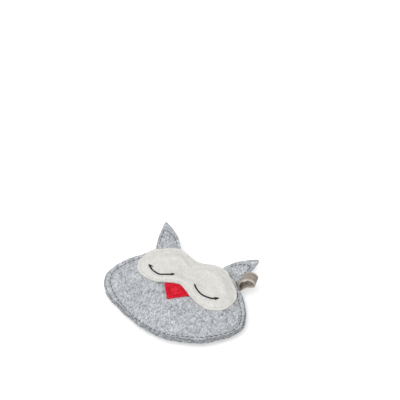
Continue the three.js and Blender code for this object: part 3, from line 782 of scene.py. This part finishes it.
def star_radius(outline, middle, angle):
    """How far a ray from the middle runs before it meets the outline."""
    ray = spoke(angle)
    best = None
    for a, b in zip(outline, outline[1:] + outline[:1]):
        edge, to_a = b - a, a - middle
        cross = ray.x * edge.y - ray.y * edge.x
        if abs(cross) < 1e-14:
            continue
        along = (to_a.x * edge.y - to_a.y * edge.x) / cross
        across = (to_a.x * ray.y - to_a.y * ray.x) / cross
        if along > 0 and -1e-9 <= across <= 1 + 1e-9:
            best = along if best is None else max(best, along)
    return best


def edge_distance(outline, x, y):
    a = np.array([p[:] for p in outline])
    step = np.roll(a, -1, 0) - a
    to_point = np.array((x, y)) - a
    t = np.clip((to_point * step).sum(1) / (step**2).sum(1), 0, 1)
    return float(np.hypot(*(to_point - step * t[:, None]).T).min())


mask_angles = np.linspace(0, 2 * math.pi, 481)


def mask_edge(inset=0.0):
    """How far the mask reaches in each direction: its lobes, cut off at the head's edge."""
    shape = mask_outline(inset)
    reach = []
    for angle in mask_angles:
        ray = spoke(angle)
        low, high = 0.0, star_radius(shape, mask_middle, angle)
        for _ in range(24):
            point = mask_middle + ray * high
            if point.length < edge_radius(math.atan2(point.y, point.x)) - mask_rim_inset - inset:
                break
            half = mask_middle + ray * (low + high) / 2
            room = edge_radius(math.atan2(half.y, half.x)) - mask_rim_inset - inset
            low, high = ((low + high) / 2, high) if half.length < room else (low, (low + high) / 2)
        reach.append(high)
    return reach


def mask_line(reach):
    return [mask_middle + spoke(a) * r for a, r in zip(mask_angles, reach)]


mask_radii = mask_edge()
mask_shape = mask_line(mask_radii)[:-1]


def on_mask(x, y):
    off = Vector((x, y)) - mask_middle
    return off.length < np.interp(math.atan2(off.y, off.x) % (2 * math.pi), mask_angles, mask_radii)


def beak_lift(x, y):
    """The mask climbs over the part of the beak that is tucked under it."""
    beside = smooth_step(abs(x), 12 * mm, 18 * mm)
    above = smooth_step(y, 8 * mm, 14 * mm)
    return (beak_felt + touch) * (1 - beside) * (1 - above)


stitch_inset = 2 * mm


def bridged(x, y):
    """The mask spans the hollow at the seam instead of following it down."""
    here, level = front_top(x, y), 0.0
    inside = smooth_step(edge_radius(math.atan2(y, x)) - math.hypot(x, y), mask_rim_inset, 3.5 * mm)
    if inside == 0 or seam_share(x, y) < 0.72:
        return here
    for reach, weight in ((4 * mm, 0.5), (7 * mm, 0.5)):
        around = [reach * Vector(corner) for corner in circle_corners(8)]
        level += weight * sum(front_top(x + p.x, y + p.y) for p in around) / 8
    return here + max(level - here, 0) * inside


def mask_top(x, y):
    from_edge = edge_distance(mask_shape, x, y)
    pressed = 0.42 * mm * math.exp(-(((from_edge - stitch_inset) / (0.9 * mm)) ** 2))
    nap = noise.noise(Vector((x, y, 0.3)) / (9 * mm)) * 0.15 * mm
    share = seam_share(x, y)
    return bridged(x, y) + 0.15 * mm + beak_lift(x, y) + mask_felt - pressed + nap * (share < 1)


mask_rings = [i / 26 for i in range(1, 23)] + [0.88, 0.915, 0.945, 0.97, 0.985, 1]
mask = ring_sheet(mask_rings, 360)
for v in mask.verts:
    ring, angle = v.co.xy.length, math.atan2(v.co.y, v.co.x) % (2 * math.pi)
    ray = spoke(angle)
    reach = float(np.interp(angle, mask_angles, mask_radii))
    point = mask_middle + ray * reach * ring
    cut = noise.noise(Vector((point.x, point.y, 0)) / (3 * mm)) * 0.18 * mm * ring**8
    point += ray * cut
    v.co = Vector((point.x, point.y, mask_top(point.x, point.y)))
mask.normal_update()
mask_area = sum(f.calc_area() for f in mask.faces)
thicken(mask, mask_felt, 0.25 * mm)
eye_mask = piece_from(mask, "eye_mask_felt", pale_felt, "head")
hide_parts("eye_mask")

# %% [markdown]
# ## The beak
# The beak is a red felt kite with its point down. Its top is tucked under the mask's
# notch. It is a disc of rings again, drawn out to a kite with slightly rounded corners.

# %% The beak
beak_round = 1.2 * mm
beak_corners = [Vector(c) * mm for c in ((-1.5, -10.8), (12.3, 1.6), (-0.4, 8), (-12.6, 2.4))]
beak_corners = [on_head(corner) for corner in beak_corners]
beak_shape = []
for i, corner in enumerate(beak_corners):
    before, after = beak_corners[i - 1], beak_corners[(i + 1) % 4]
    start = corner + (before - corner).normalized() * beak_round
    end = corner + (after - corner).normalized() * beak_round
    for t in (0, 0.25, 0.5, 0.75, 1):
        beak_shape.append(start.lerp(corner, t).lerp(corner.lerp(end, t), t))
beak_middle = Vector((0, -1 * mm))


def beak_top(x, y):
    share = seam_share(x, y)
    crown = 0.25 * mm * min(edge_distance(beak_shape, x, y) / (2 * mm), 1)
    return front_top(x, y) + 0.12 * mm + beak_felt - 0.2 * mm + crown * (share < 1)


beak_rings = [i / 14 for i in range(1, 13)] + [0.92, 0.96, 1]
beak = ring_sheet(beak_rings, 144)
for v in beak.verts:
    ring, angle = v.co.xy.length, math.atan2(v.co.y, v.co.x)
    ray = spoke(angle)
    point = beak_middle + ray * ring * star_radius(beak_shape, beak_middle, angle)
    v.co = Vector((point.x, point.y, beak_top(point.x, point.y)))
beak.normal_update()
beak_area = sum(f.calc_area() for f in beak.faces)
thicken(beak, beak_felt - 0.1 * mm, 0.22 * mm)
beak_piece = piece_from(beak, "beak_felt", red_felt, "head")
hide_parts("beak")

# %% [markdown]
# ## Threads and stitches
# A sewing machine leaves short stitches that sink into the felt at both ends, pulled
# tight so that the felt rises between them. Each stitch is one short bowed thread. A ring
# of a few corners is extruded along the bow, thinner at the ends, and one small routine
# lays such stitches along any line on any surface.

# %% Threads and stitches
def thread_finish(name, colour, dark, roughness, sheen=0.15):
    thread = Finish(name, roughness, sheen, 0.3)
    strands = thread.noise(thread.place(), 4200, 2, 0.6, 1.2)
    thread.shade({"Base Color": thread.ramp(strands, [(0.35, dark), (0.6, colour)])})
    thread.bump(strands, 0.6, 0.08 * mm)
    return thread.material


grey_thread = thread_finish("grey_thread", (0.16, 0.165, 0.175), (0.05, 0.052, 0.058), 0.75)
pale_thread = thread_finish("pale_thread", (0.8, 0.785, 0.74), (0.55, 0.54, 0.5), 0.7)
red_thread = thread_finish("red_thread", (0.7, 0.006, 0.022), (0.5, 0.004, 0.014), 0.8, 0.02)
black_thread = thread_finish("black_thread", (0.011, 0.011, 0.012), (0.003, 0.003, 0.003), 0.6)


def lay_thread(bm, points, radii, up, sides=6):
    """A closed thread through the points, with a radius at each and a common up."""
    corners = circle_corners(sides)
    for i, (point, radius) in enumerate(zip(points, radii)):
        ahead = points[min(i + 1, len(points) - 1)] - points[max(i - 1, 0)]
        aside = ahead.cross(up).normalized()
        above = aside.cross(ahead).normalized()
        if i == 0:
            circle = bmesh.ops.create_circle(bm, segments=sides, radius=1)["verts"]
            corner_of = {v: k for k, v in enumerate(circle)}
            edges = [bm.edges.get((v, circle[(k + 1) % sides])) for k, v in enumerate(circle)]
            start_cap = edges
        else:
            grown = bmesh.ops.extrude_edge_only(bm, edges=edges)["geom"]
            new = [g for g in grown if isinstance(g, bmesh.types.BMVert)]
            edges = [g for g in grown if isinstance(g, bmesh.types.BMEdge) and g.is_boundary]
            pairs = [(v, e.other_vert(v)) for v in new for e in v.link_edges]
            corner_of = {v: corner_of[old] for v, old in pairs if old in corner_of}
        for v, corner in corner_of.items():
            c, s = corners[corner]
            v.co = point + aside * (radius * c) + above * (radius * s)
    for cap in (start_cap, edges):
        bmesh.ops.edgeloop_fill(bm, edges=cap)


def thread_piece(threads, name, material, body="head"):
    """Turns every thread right side out and keeps them all as one piece."""
    bmesh.ops.recalc_face_normals(threads, faces=threads.faces)
    return piece_from(threads, name, material, body)


def along_line(line, step):
    """Points at equal steps along a line of points, with the direction at each."""
    lengths = [0.0]
    for a, b in zip(line, line[1:]):
        lengths.append(lengths[-1] + (b - a).length)
    count = max(int(round(lengths[-1] / step)), 1)
    marks = np.linspace(0, lengths[-1], count + 1)
    columns = np.array([p[:] for p in line]).T
    return [Vector([float(np.interp(mark, lengths, column)) for column in columns]) for mark in marks]


def stitches(bm, line, surface, step, radius, gap_share=0.16, sink=1.1, wander=0.1, side=1):
    """One stitch between each two marks on a line that lies on a surface."""
    marks = along_line(line, step)
    wobble = random.Random(len(marks))
    for a, b in zip(marks, marks[1:]):
        run = b - a
        across = Vector((-run.y, run.x)).normalized() * wobble.uniform(-wander, wander) * mm
        start, end = a + run * gap_share / 2 + across, b - run * gap_share / 2 - across
        points, radii = [], []
        for t in (0, 0.12, 0.36, 0.64, 0.88, 1):
            p = start.lerp(end, t)
            lift = radius * (0.75 - sink * (2 * t - 1) ** 4 * 2.2)
            points.append(Vector((p.x, p.y, surface(p.x, p.y) + side * lift)))
            radii.append(radius * (0.62 if t in (0, 1) else 1))
        lay_thread(bm, points, radii, Vector((0, 0, side)))
    return len(marks) - 1


bm = bmesh.new()
below_seam = [p for p in mask_line(mask_edge(stitch_inset)) if seam_share(p.x, p.y) < 0.94]
breaks = [i for i, (a, b) in enumerate(zip(below_seam, below_seam[1:]), 1) if (b - a).length > 5 * mm]
if breaks:
    below_seam = below_seam[breaks[0] :] + below_seam[: breaks[0]]
mask_count = stitches(bm, below_seam, mask_top, 2.7 * mm, 0.24 * mm)
mask_thread = thread_piece(bm, "mask_stitches", pale_thread)
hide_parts("mask_stitching")

bm = bmesh.new()
inner = [beak_middle + (corner - beak_middle) * 0.76 for corner in beak_corners]
beak_line = [inner[0].lerp(inner[3], 0.72), inner[0], inner[0].lerp(inner[1], 0.72)]
for pair in (beak_line[:2], beak_line[1:]):
    stitches(bm, pair, beak_top, 2.3 * mm, 0.17 * mm)
beak_thread = thread_piece(bm, "beak_stitches", red_thread)
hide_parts("beak_stitching")
print(mask_count, "stitches hold the mask")

# %% [markdown]
# ## The rim seam
# The seam that closes the toy runs right round, a few millimetres inside the cut edge, on
# the front and on the back. On the front it passes over the top of the mask, which it also
# catches, in thread as pale as the mask. Its stitches are longer than the mask's own and
# lie deep in their groove, each laid by itself between two marks.

# %% The rim seam
def seam_top(x, y):
    return mask_top(x, y) if on_mask(x, y) else front_top(x, y)


rim_stitch, rim_radius = 3.4 * mm, 0.26 * mm
whole_line = 9
turns = [2 * math.pi * i / 720 for i in range(721)]
rim_line = [edge_point(a, seam_inset_at(a) - seam_offset) for a in turns]
rim_marks = along_line(rim_line, rim_stitch)
grey_rim, pale_rim, back_rim = bmesh.new(), bmesh.new(), bmesh.new()
for a, b in zip(rim_marks, rim_marks[1:]):
    middle = (a + b) / 2
    crossing = on_mask(middle.x, middle.y)
    stitches(pale_rim if crossing else grey_rim, [a, b], seam_top, whole_line, rim_radius, 0.14, 1.2)
    stitches(back_rim, [a, b], back_bottom, whole_line, rim_radius, 0.14, 1.2, 0.12, -1)
rim_front = thread_piece(grey_rim, "rim_stitches_front", grey_thread)
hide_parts("rim_seam_front")
thread_piece(pale_rim, "rim_stitches_over_mask", pale_thread)
rim_back = thread_piece(back_rim, "rim_stitches_back", grey_thread)
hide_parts("rim_seam_back")
print(len(rim_marks) - 1, "stitches on each side of the rim")

# %% [markdown]
# ## The sleeping eyes
# Each closed eye is a shallow curve of black embroidery thread, worked in back stitch
# with short ticks at its ends. Two strands twist round each other along every stitch,
# so a stitch is two thin threads on a helix, and neighbours overlap a little.

# %% The sleeping eyes
eye_x = 18.7 * mm
eye_half_chord = {-1: 10.5 * mm, 1: 9.7 * mm}
eye_tilt = {-1: -0.3 * mm, 1: 1 * mm}
eye_end_y, eye_drop = 9.4 * mm, 4.5 * mm


def twisted_stitch(bm, a, b, surface, radius, turns):
    strand = radius * 0.56
    steps = 14
    for phase in (0, math.pi):
        points, radii = [], []
        for i in range(steps + 1):
            t = i / steps
            p = a.lerp(b, t)
            across = Vector((-(b - a).y, (b - a).x)).normalized()
            turn = phase + turns * 2 * math.pi * t
            ends = (2 * t - 1) ** 6
            p = p + across * math.cos(turn) * strand * 0.75
            height = surface(p.x, p.y) + radius * (0.7 - 1.5 * ends) + math.sin(turn) * strand * 0.55
            points.append(Vector((p.x, p.y, height)))
            radii.append(strand * (1 - 0.35 * ends))
        lay_thread(bm, points, radii, Vector((0, 0, 1)))


# The short ticks at the ends: how far each leans upwards off the line, and its length.
inner_ticks = {-1: [(0.55, 2.2), (-0.4, 2.4)], 1: [(0.25, 2)]}
outer_ticks = {-1: [(0.25, 4.2), (0.85, 3.6)], 1: [(0.35, 3), (-0.35, 3)]}


def eye(name, side):
    bm = bmesh.new()
    curve = []
    eye_radius = (eye_half_chord[side] ** 2 + eye_drop**2) / (2 * eye_drop)
    eye_half_angle = math.asin(eye_half_chord[side] / eye_radius)
    for i in range(61):
        share = 2 * i / 60 - 1
        angle = eye_half_angle * share
        x = side * eye_x + eye_radius * math.sin(angle)
        y = eye_end_y - eye_drop + eye_radius * (1 - math.cos(angle))
        y += eye_tilt[side] * (side * share + 1) / 2
        curve.append(on_head(Vector((x, y))))
    marks = along_line(curve, 1.9 * mm)
    for a, b in zip(marks, marks[1:]):
        overlap = (b - a) * 0.16
        twisted_stitch(bm, a - overlap, b + overlap, mask_top, 0.62 * mm, 1.5)
    inner, outer = (marks[0], marks[1]), (marks[-1], marks[-2])
    if side < 0:
        inner, outer = (marks[-1], marks[-2]), (marks[0], marks[1])
    for (end, near), ticks in ((inner, inner_ticks[side]), (outer, outer_ticks[side])):
        run = (near - end).normalized()
        upwards = Vector((-run.y, run.x)) * (1 if run.x > 0 else -1)
        for lean, reach in ticks:
            tick = (run + upwards * lean).normalized() * reach * mm
            twisted_stitch(bm, end, end + tick, mask_top, 0.44 * mm, 1)
    piece = thread_piece(bm, f"{name}_stitches", black_thread)
    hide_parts(f"{name}_embroidery")


eye("left_eye", -1)
eye("right_eye", 1)

# %% [markdown]
# ## The ears
# Each ear is two layers of the grey felt, sewn to each other near their edges and caught
# in the rim seam. A layer is a grid whose long sides are drawn in to the ear's outline. It
# starts inside the seam and reaches up to the tip, cupped a little and curling up towards it.

# %% The ears
ear_height, ear_tip_share, ear_tip_round = 26 * mm, 0.53, 2 * mm
ear_inner_bulge, ear_outer_bulge = 2.2 * mm, 0.8 * mm
ear_lean = {"left_ear": 2 * mm, "right_ear": 3.8 * mm}
ear_root_depth, ear_seam_inset = 7.5 * mm, 2.2 * mm


def bend(a, b, c, t):
    return a.lerp(b, t).lerp(b.lerp(c, t), t)


def ear_outline(name, inset=0.0):
    """Points from the right foot over the tip to the left foot, in the ear's plane."""
    place = places[name]
    half = place.width / 2 - inset
    tip_x = ((ear_tip_share - 0.5) * place.width + ear_lean[name]) * place.side
    shorter = 2 * inset * ear_height / place.width
    tip = Vector((tip_x, ear_height - place.bulge - ear_half - touch - shorter))
    controls = []
    for foot in (Vector((half, 0)), Vector((-half, 0))):
        swing = ear_outer_bulge if foot.x * place.side > 0 else ear_inner_bulge
        normal = Vector((tip.y - foot.y, foot.x - tip.x)).normalized()
        controls.append((foot + tip) / 2 + normal * math.copysign(2 * swing, foot.x))
    near = [tip + (c - tip).normalized() * ear_tip_round for c in controls]
    steps = [i / 20 for i in range(21)]
    side_one = [bend(Vector((half, 0)), controls[0], near[0], t) for t in steps]
    over_tip = [bend(near[0], tip, near[1], t) for t in steps[1:]]
    side_two = [bend(near[1], controls[1], Vector((-half, 0)), t) for t in steps[1:]]
    return side_one + over_tip + side_two


def ear_span(outline, y):
    """The ear's left and right edge at a height above its foot."""
    top = max(range(len(outline)), key=lambda i: outline[i].y)
    right, left = outline[: top + 1], outline[top:][::-1]
    return [float(np.interp(y, [p.y for p in run], [p.x for p in run])) for run in (left, right)]


def ear_cup(name, x, y):
    """How far the ear's sheet rises above its flat plane."""
    width = places[name].width
    dish = 0.9 * mm * (x / (width / 2)) ** 2 * smooth_step(y, 2 * mm, 12 * mm)
    curl = 1.6 * mm * smooth_step(y, 10 * mm, 26 * mm) ** 2
    ripple = noise.noise(Vector((x, y, places[name].side * 7 * mm)) / (6 * mm)) * 0.3 * mm
    return dish + curl + ripple * smooth_step(y, 0, 6 * mm)


def ear_face(name, x, y, side):
    """Height of an ear's outer face above its middle plane."""
    outline = ear_outline(name, ear_seam_inset)
    pressed = 0.0
    if y > 3 * mm:
        pressed = 0.3 * mm * math.exp(-((edge_distance(outline, x, y) / (0.9 * mm)) ** 2))
    return ear_cup(name, x, y) + side * (ear_half - pressed)


def points_in(sheet):
    return sheet.calc_volume(signed=True) < 0


def ear_layer(name, layer, side):
    place = places[name]
    outline = ear_outline(name)
    tip_y = max(p.y for p in outline)
    sheet = bmesh.new()
    bmesh.ops.create_grid(sheet, x_segments=20, y_segments=44, size=1)
    for v in sheet.verts:
        across, along = v.co.x, (v.co.y + 1) / 2
        depth = ear_root_depth + ear_half + touch
        y = -depth + (depth + tip_y - 0.02 * mm) * (1 - (1 - along) ** 1.15)
        left, right = ear_span(outline, max(y, 0))
        if y < 0:
            taper = 1.3 * mm * y / depth
            left, right = left - taper, right + taper
        edge = noise.noise(Vector((along * 9, across, place.side * 3 + side))) * 0.14 * mm
        x = (left + right) / 2 + across * ((right - left) / 2 + edge * abs(across) ** 4)
        v.co = Vector((x, y, ear_face(name, x, y, side)))
    bmesh.ops.remove_doubles(sheet, verts=sheet.verts, dist=0.02 * mm)
    bmesh.ops.recalc_face_normals(sheet, faces=sheet.faces)
    if sum(f.normal.z for f in sheet.faces) * side < 0:
        bmesh.ops.reverse_faces(sheet, faces=sheet.faces)
    area = sum(f.calc_area() for f in sheet.faces)
    thicken(sheet, felt, 0.28 * mm)
    for v in sheet.verts:
        v.co = place.at(*v.co)
    if points_in(sheet):
        bmesh.ops.reverse_faces(sheet, faces=sheet.faces)
    piece = piece_from(sheet, f"{name}_{layer}_felt", grey_felt, None)
    place.at(0, -1.2 * mm)
    place.at(0, 1.2 * mm)
    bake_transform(piece)
    size = (place.width + 3 * mm, tip_y + ear_root_depth + ear_half + touch)
    area = min(area, size[0] * size[1])
    return piece


for name in ("left_ear", "right_ear"):
    front_layer = ear_layer(name, "front", 1)
    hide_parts(f"{name}_front", f"{name}_root")
    back_layer = ear_layer(name, "back", -1)
    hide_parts(f"{name}_back")
    place = places[name]
    line = [p for p in ear_outline(name, ear_seam_inset) if p.y > 2.4 * mm]
    for layer, side in (("front", 1), ("back", -1)):
        bm = bmesh.new()
        stitches(bm, line, lambda x, y: ear_face(name, x, y, side), 3 * mm, 0.26 * mm, side=side)
        for v in bm.verts:
            v.co = place.at(*v.co)
        stitched = f"{name}_stitches_{layer}"
        ear_stitches = thread_piece(bm, stitched, grey_thread, name)
        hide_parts(f"{name}_stitching_{layer}")

# %% [markdown]
# ## The ribbon loop
# A short length of beige satin ribbon is folded over and caught in the seam beside the
# right ear. It stands up, arches over and comes back below. The ribbon is bare. A narrow
# grid follows the side view of the loop, gets its thickness, and is bent at its foot as it
# comes out of the seam. Satin shows fine slanting floats and a firmer woven edge.

# %% The ribbon loop
satin = Finish("beige_ribbon", 0.4, 0.15, 0.3)
weave = add_node(satin.tree, "UVMap", {}, uv_map="ribbon").outputs["UV"]
floats = satin.noise(satin.stretch(weave, (0, 0, 0), (1, 0.12, 1)), 2600, 2, 0.6)
streaks = satin.noise(satin.stretch(weave, (0, 0, 0), (1, 0.05, 1)), 900, 2, 0.5)
mixed = satin.sum("MULTIPLY", satin.sum("ADD", floats, streaks), 0.5)
satin_shades = [(0.38, (0.2, 0.17, 0.145)), (0.5, (0.35, 0.3, 0.26)), (0.64, (0.52, 0.46, 0.4))]
across_ribbon = add_node(satin.tree, "SeparateXYZ", {"Vector": weave}).outputs["X"]
selvedge = satin.map(satin.sum("ABSOLUTE", across_ribbon, 0), 2.75 * mm, 3.05 * mm)
colour = satin.blend(selvedge, satin.ramp(mixed, satin_shades), (0.63, 0.57, 0.51))
satin.shade({"Base Color": colour})
satin.bump(mixed, 0.5, 0.1 * mm)

loop_reach, loop_step, held_length = 12.5 * mm, 0.45 * mm, 7.5 * mm
ribbon_turn, ribbon_tilt = math.radians(46), 0.2
loop_shares = [(0.04, 0.38), (0.12, 0.8), (0.3, 1.2), (0.58, 1.42), (0.88, 1.4), (1.06, 1.2)]
loop_shares += [(1.06, 0.97), (0.88, 0.8), (0.62, 0.66), (0.4, 0.45), (0.2, 0.18)]
ply = (touch + ribbon_thickness) / 2
root_end = -(ribbon_half + touch + 6.5 * mm)
loop_points = [Vector((root_end, ply)), Vector((root_end / 2, ply)), Vector((-0.8 * mm, ply * 1.2))]
loop_points += [Vector((out, up)) * loop_reach for out, up in loop_shares]
loop_points += [Vector((-0.8 * mm, -ply * 1.2)), Vector((root_end / 2, -ply)), Vector((root_end, -ply))]


def spline_through(points, steps):
    """A smooth line through the points."""
    line = []
    ends = [points[0] * 2 - points[1]] + points + [points[-1] * 2 - points[-2]]
    for a, b, c, d in zip(ends, ends[1:], ends[2:], ends[3:]):
        for i in range(steps):
            t = i / steps
            bowed = (a * 2 - b * 5 + c * 4 - d) * t**2 + (b * 3 - a - c * 3 + d) * t**3
            line.append((b * 2 + (c - a) * t + bowed) / 2)
    return line + [points[-1]]


loop_line = along_line(spline_through(loop_points, 8), loop_step)
bm = bmesh.new()
bmesh.ops.create_grid(bm, x_segments=12, y_segments=len(loop_line) - 1, size=1)
uv = bm.loops.layers.uv.new("ribbon")
place = places["ribbon"]
last_row = len(loop_line) - 1
rows = {v: int(round((v.co.y + 1) / 2 * last_row)) for v in bm.verts}
for face in bm.faces:
    for loop in face.loops:
        loop[uv].uv = (loop.vert.co.x * ribbon_width / 2, rows[loop.vert] * loop_step)
for v, row in rows.items():
    side, height = loop_line[row]
    from_seam = min(row, last_row - row) * loop_step - held_length
    free = smooth_step(from_seam, 0, 5 * mm)
    across = v.co.x * ribbon_width / 2
    curl = 0.5 * mm * (v.co.x**2 - 0.4) * free
    pleat = 0.16 * mm * math.sin(across / (0.55 * mm) + 2 * from_seam / (9 * mm)) * free
    sag = noise.noise(Vector((v.co.x, side / (5 * mm), height / (5 * mm)))) * 0.3 * mm * free
    turn = Matrix.Rotation(-ribbon_turn * free, 3, "Z")
    v.co = turn @ Vector((across, side, height + sag + pleat - curl - ribbon_tilt * across * free))
bmesh.ops.recalc_face_normals(bm, faces=bm.faces)
bmesh.ops.solidify(bm, geom=bm.faces[:], thickness=ribbon_thickness * 0.8)
for v in bm.verts:
    v.co = place.at(*v.co)
bmesh.ops.recalc_face_normals(bm, faces=bm.faces)
ribbon = piece_from(bm, "ribbon", satin.material, None)
place.at(0, -0.8 * mm)
place.at(0, 0.8 * mm)
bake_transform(ribbon)
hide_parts("ribbon_loop", "ribbon_root")

# %% [markdown]
# ## Loose fibres
# A cut edge of felt is never clean: short fibres stand out of it in all directions. A
# particle system would scatter them, but plain thin cones are simpler to keep as one
# piece. Each fibre is a three-sided cone, all of them are cut into short lengths at once,
# and a smooth noise then bends them, the more the further they are from the felt.

# %% Loose fibres
def sideways(spot):
    """A direction that changes smoothly from place to place, the same in every run."""
    return Vector([noise.noise(spot + Vector((0, 0, 17.3 * k))) for k in range(3)])


def fuzz(name, roots, material, body, length=1.1 * mm, seed=1):
    """Fibres that start at the roots, each a place and the direction it leaves in."""
    pick = random.Random(seed)
    cones = bmesh.new()
    spots = KDTree(len(roots))
    shape = {"cap_ends": True, "segments": 3, "radius1": 0.035 * mm, "radius2": 0.012 * mm}
    for i, (root, out) in enumerate(roots):
        aim = Vector([pick.gauss(0, 0.55) for _ in range(3)]) + out
        aim.normalize()
        tall = length * pick.uniform(0.45, 1.3)
        turn = aim.to_track_quat("Z", "Y").to_matrix().to_4x4()
        place = Matrix.Translation(root + aim * tall * 0.42) @ turn
        bmesh.ops.create_cone(cones, depth=tall, matrix=place, **shape)
        spots.insert(root, i)
    spots.balance()
    long_edges = [e for e in cones.edges if e.calc_length() > 0.2 * mm]
    bmesh.ops.subdivide_edges(cones, edges=long_edges, cuts=2)
    for v in cones.verts:
        root, _, far = spots.find(v.co)
        v.co += sideways(root / (0.4 * mm)) * min(far / length, 1) ** 2 * 0.5 * mm
    piece_from(cones, name, material, body)


def rim_roots(count, height, side, seed):
    pick = random.Random(seed)
    roots = []
    for _ in range(count):
        angle = pick.uniform(0, 2 * math.pi)
        inset = (edge_step if side > 0 else 0) - hand_cut(angle)
        edge = edge_point(angle, inset + pick.uniform(0.05, 0.5) * mm)
        level = height(edge.x, edge.y) - side * pick.uniform(0.1, 1.3) * mm
        out = Vector((math.cos(angle), math.sin(angle), pick.uniform(-0.2, 0.6) * side))
        roots.append((Vector((edge.x, edge.y, level)), out))
    return roots


fuzz("rim_fuzz_front", rim_roots(2600, front_top, 1, 2), grey_felt, "head", seed=3)
fuzz("rim_fuzz_back", rim_roots(2200, back_bottom, -1, 4), grey_felt, "head", seed=5)

pick = random.Random(6)
mask_roots = []
for _ in range(700):
    angle = pick.uniform(0, 2 * math.pi)
    reach = float(np.interp(angle, mask_angles, mask_radii)) - pick.uniform(0.1, 0.4) * mm
    ray = spoke(angle)
    spot = mask_middle + ray * reach
    level = mask_top(spot.x, spot.y) - pick.uniform(0.1, 0.9) * mm
    mask_roots.append((Vector((spot.x, spot.y, level)), Vector((ray.x, ray.y, 0.4))))
fuzz("mask_fuzz", mask_roots, pale_felt, "head", 0.8 * mm, 7)

for name in ("left_ear", "right_ear"):
    place, outline, roots = places[name], ear_outline(name), []
    for _ in range(420):
        i = pick.randrange(len(outline) - 1)
        spot = outline[i].lerp(outline[i + 1], pick.random())
        if spot.y < 2 * mm:
            continue
        level = ear_cup(name, spot.x, spot.y) + pick.uniform(-1.4, 1.4) * mm
        inwards = spot - Vector((0, 10 * mm))
        out = (place.at(inwards.x, inwards.y) - place.at(0, 0)).normalized()
        roots.append((place.at(spot.x * 0.985, spot.y - 0.2 * mm, level), out))
    fuzz(f"{name}_fuzz", roots, grey_felt, name, 1.0 * mm, 8)

# %% [markdown]
# ## The filling
# The wadding and the little bag of dried leaves are closed in and can't be seen, but they
# are there. They keep the shapes of the frame and get finishes of their own.

# %% The filling
def plain_fibre(name, dark, light, scale):
    fibre = Finish(name, 1.0, 0.2)
    grain = fibre.noise(fibre.place(), scale, 4, 0.6, 0.8)
    fibre.shade({"Base Color": fibre.ramp(grain, [(0.35, dark), (0.65, light)])})
    fibre.bump(grain, 0.6, 0.3 * mm)
    return fibre.material


wadding = plain_fibre("white_wadding", (0.78, 0.77, 0.75), (0.93, 0.92, 0.9), 700)
cotton = plain_fibre("sachet_cotton", (0.62, 0.56, 0.43), (0.8, 0.74, 0.6), 1500)
herb = plain_fibre("dried_herb", (0.07, 0.08, 0.02), (0.24, 0.25, 0.09), 900)
filling = [
    (wadding, ["front_wadding", "back_wadding"]),
    (cotton, ["sachet_front_cloth", "sachet_back_cloth"]),
    (herb, ["dried_catnip"]),
]
for material, names in filling:
    for name in names:
        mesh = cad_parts[name].data
        mesh.materials.clear()
        mesh.materials.append(material)
print("finished", sum(len(names) for _, names in filling), "hidden pieces")
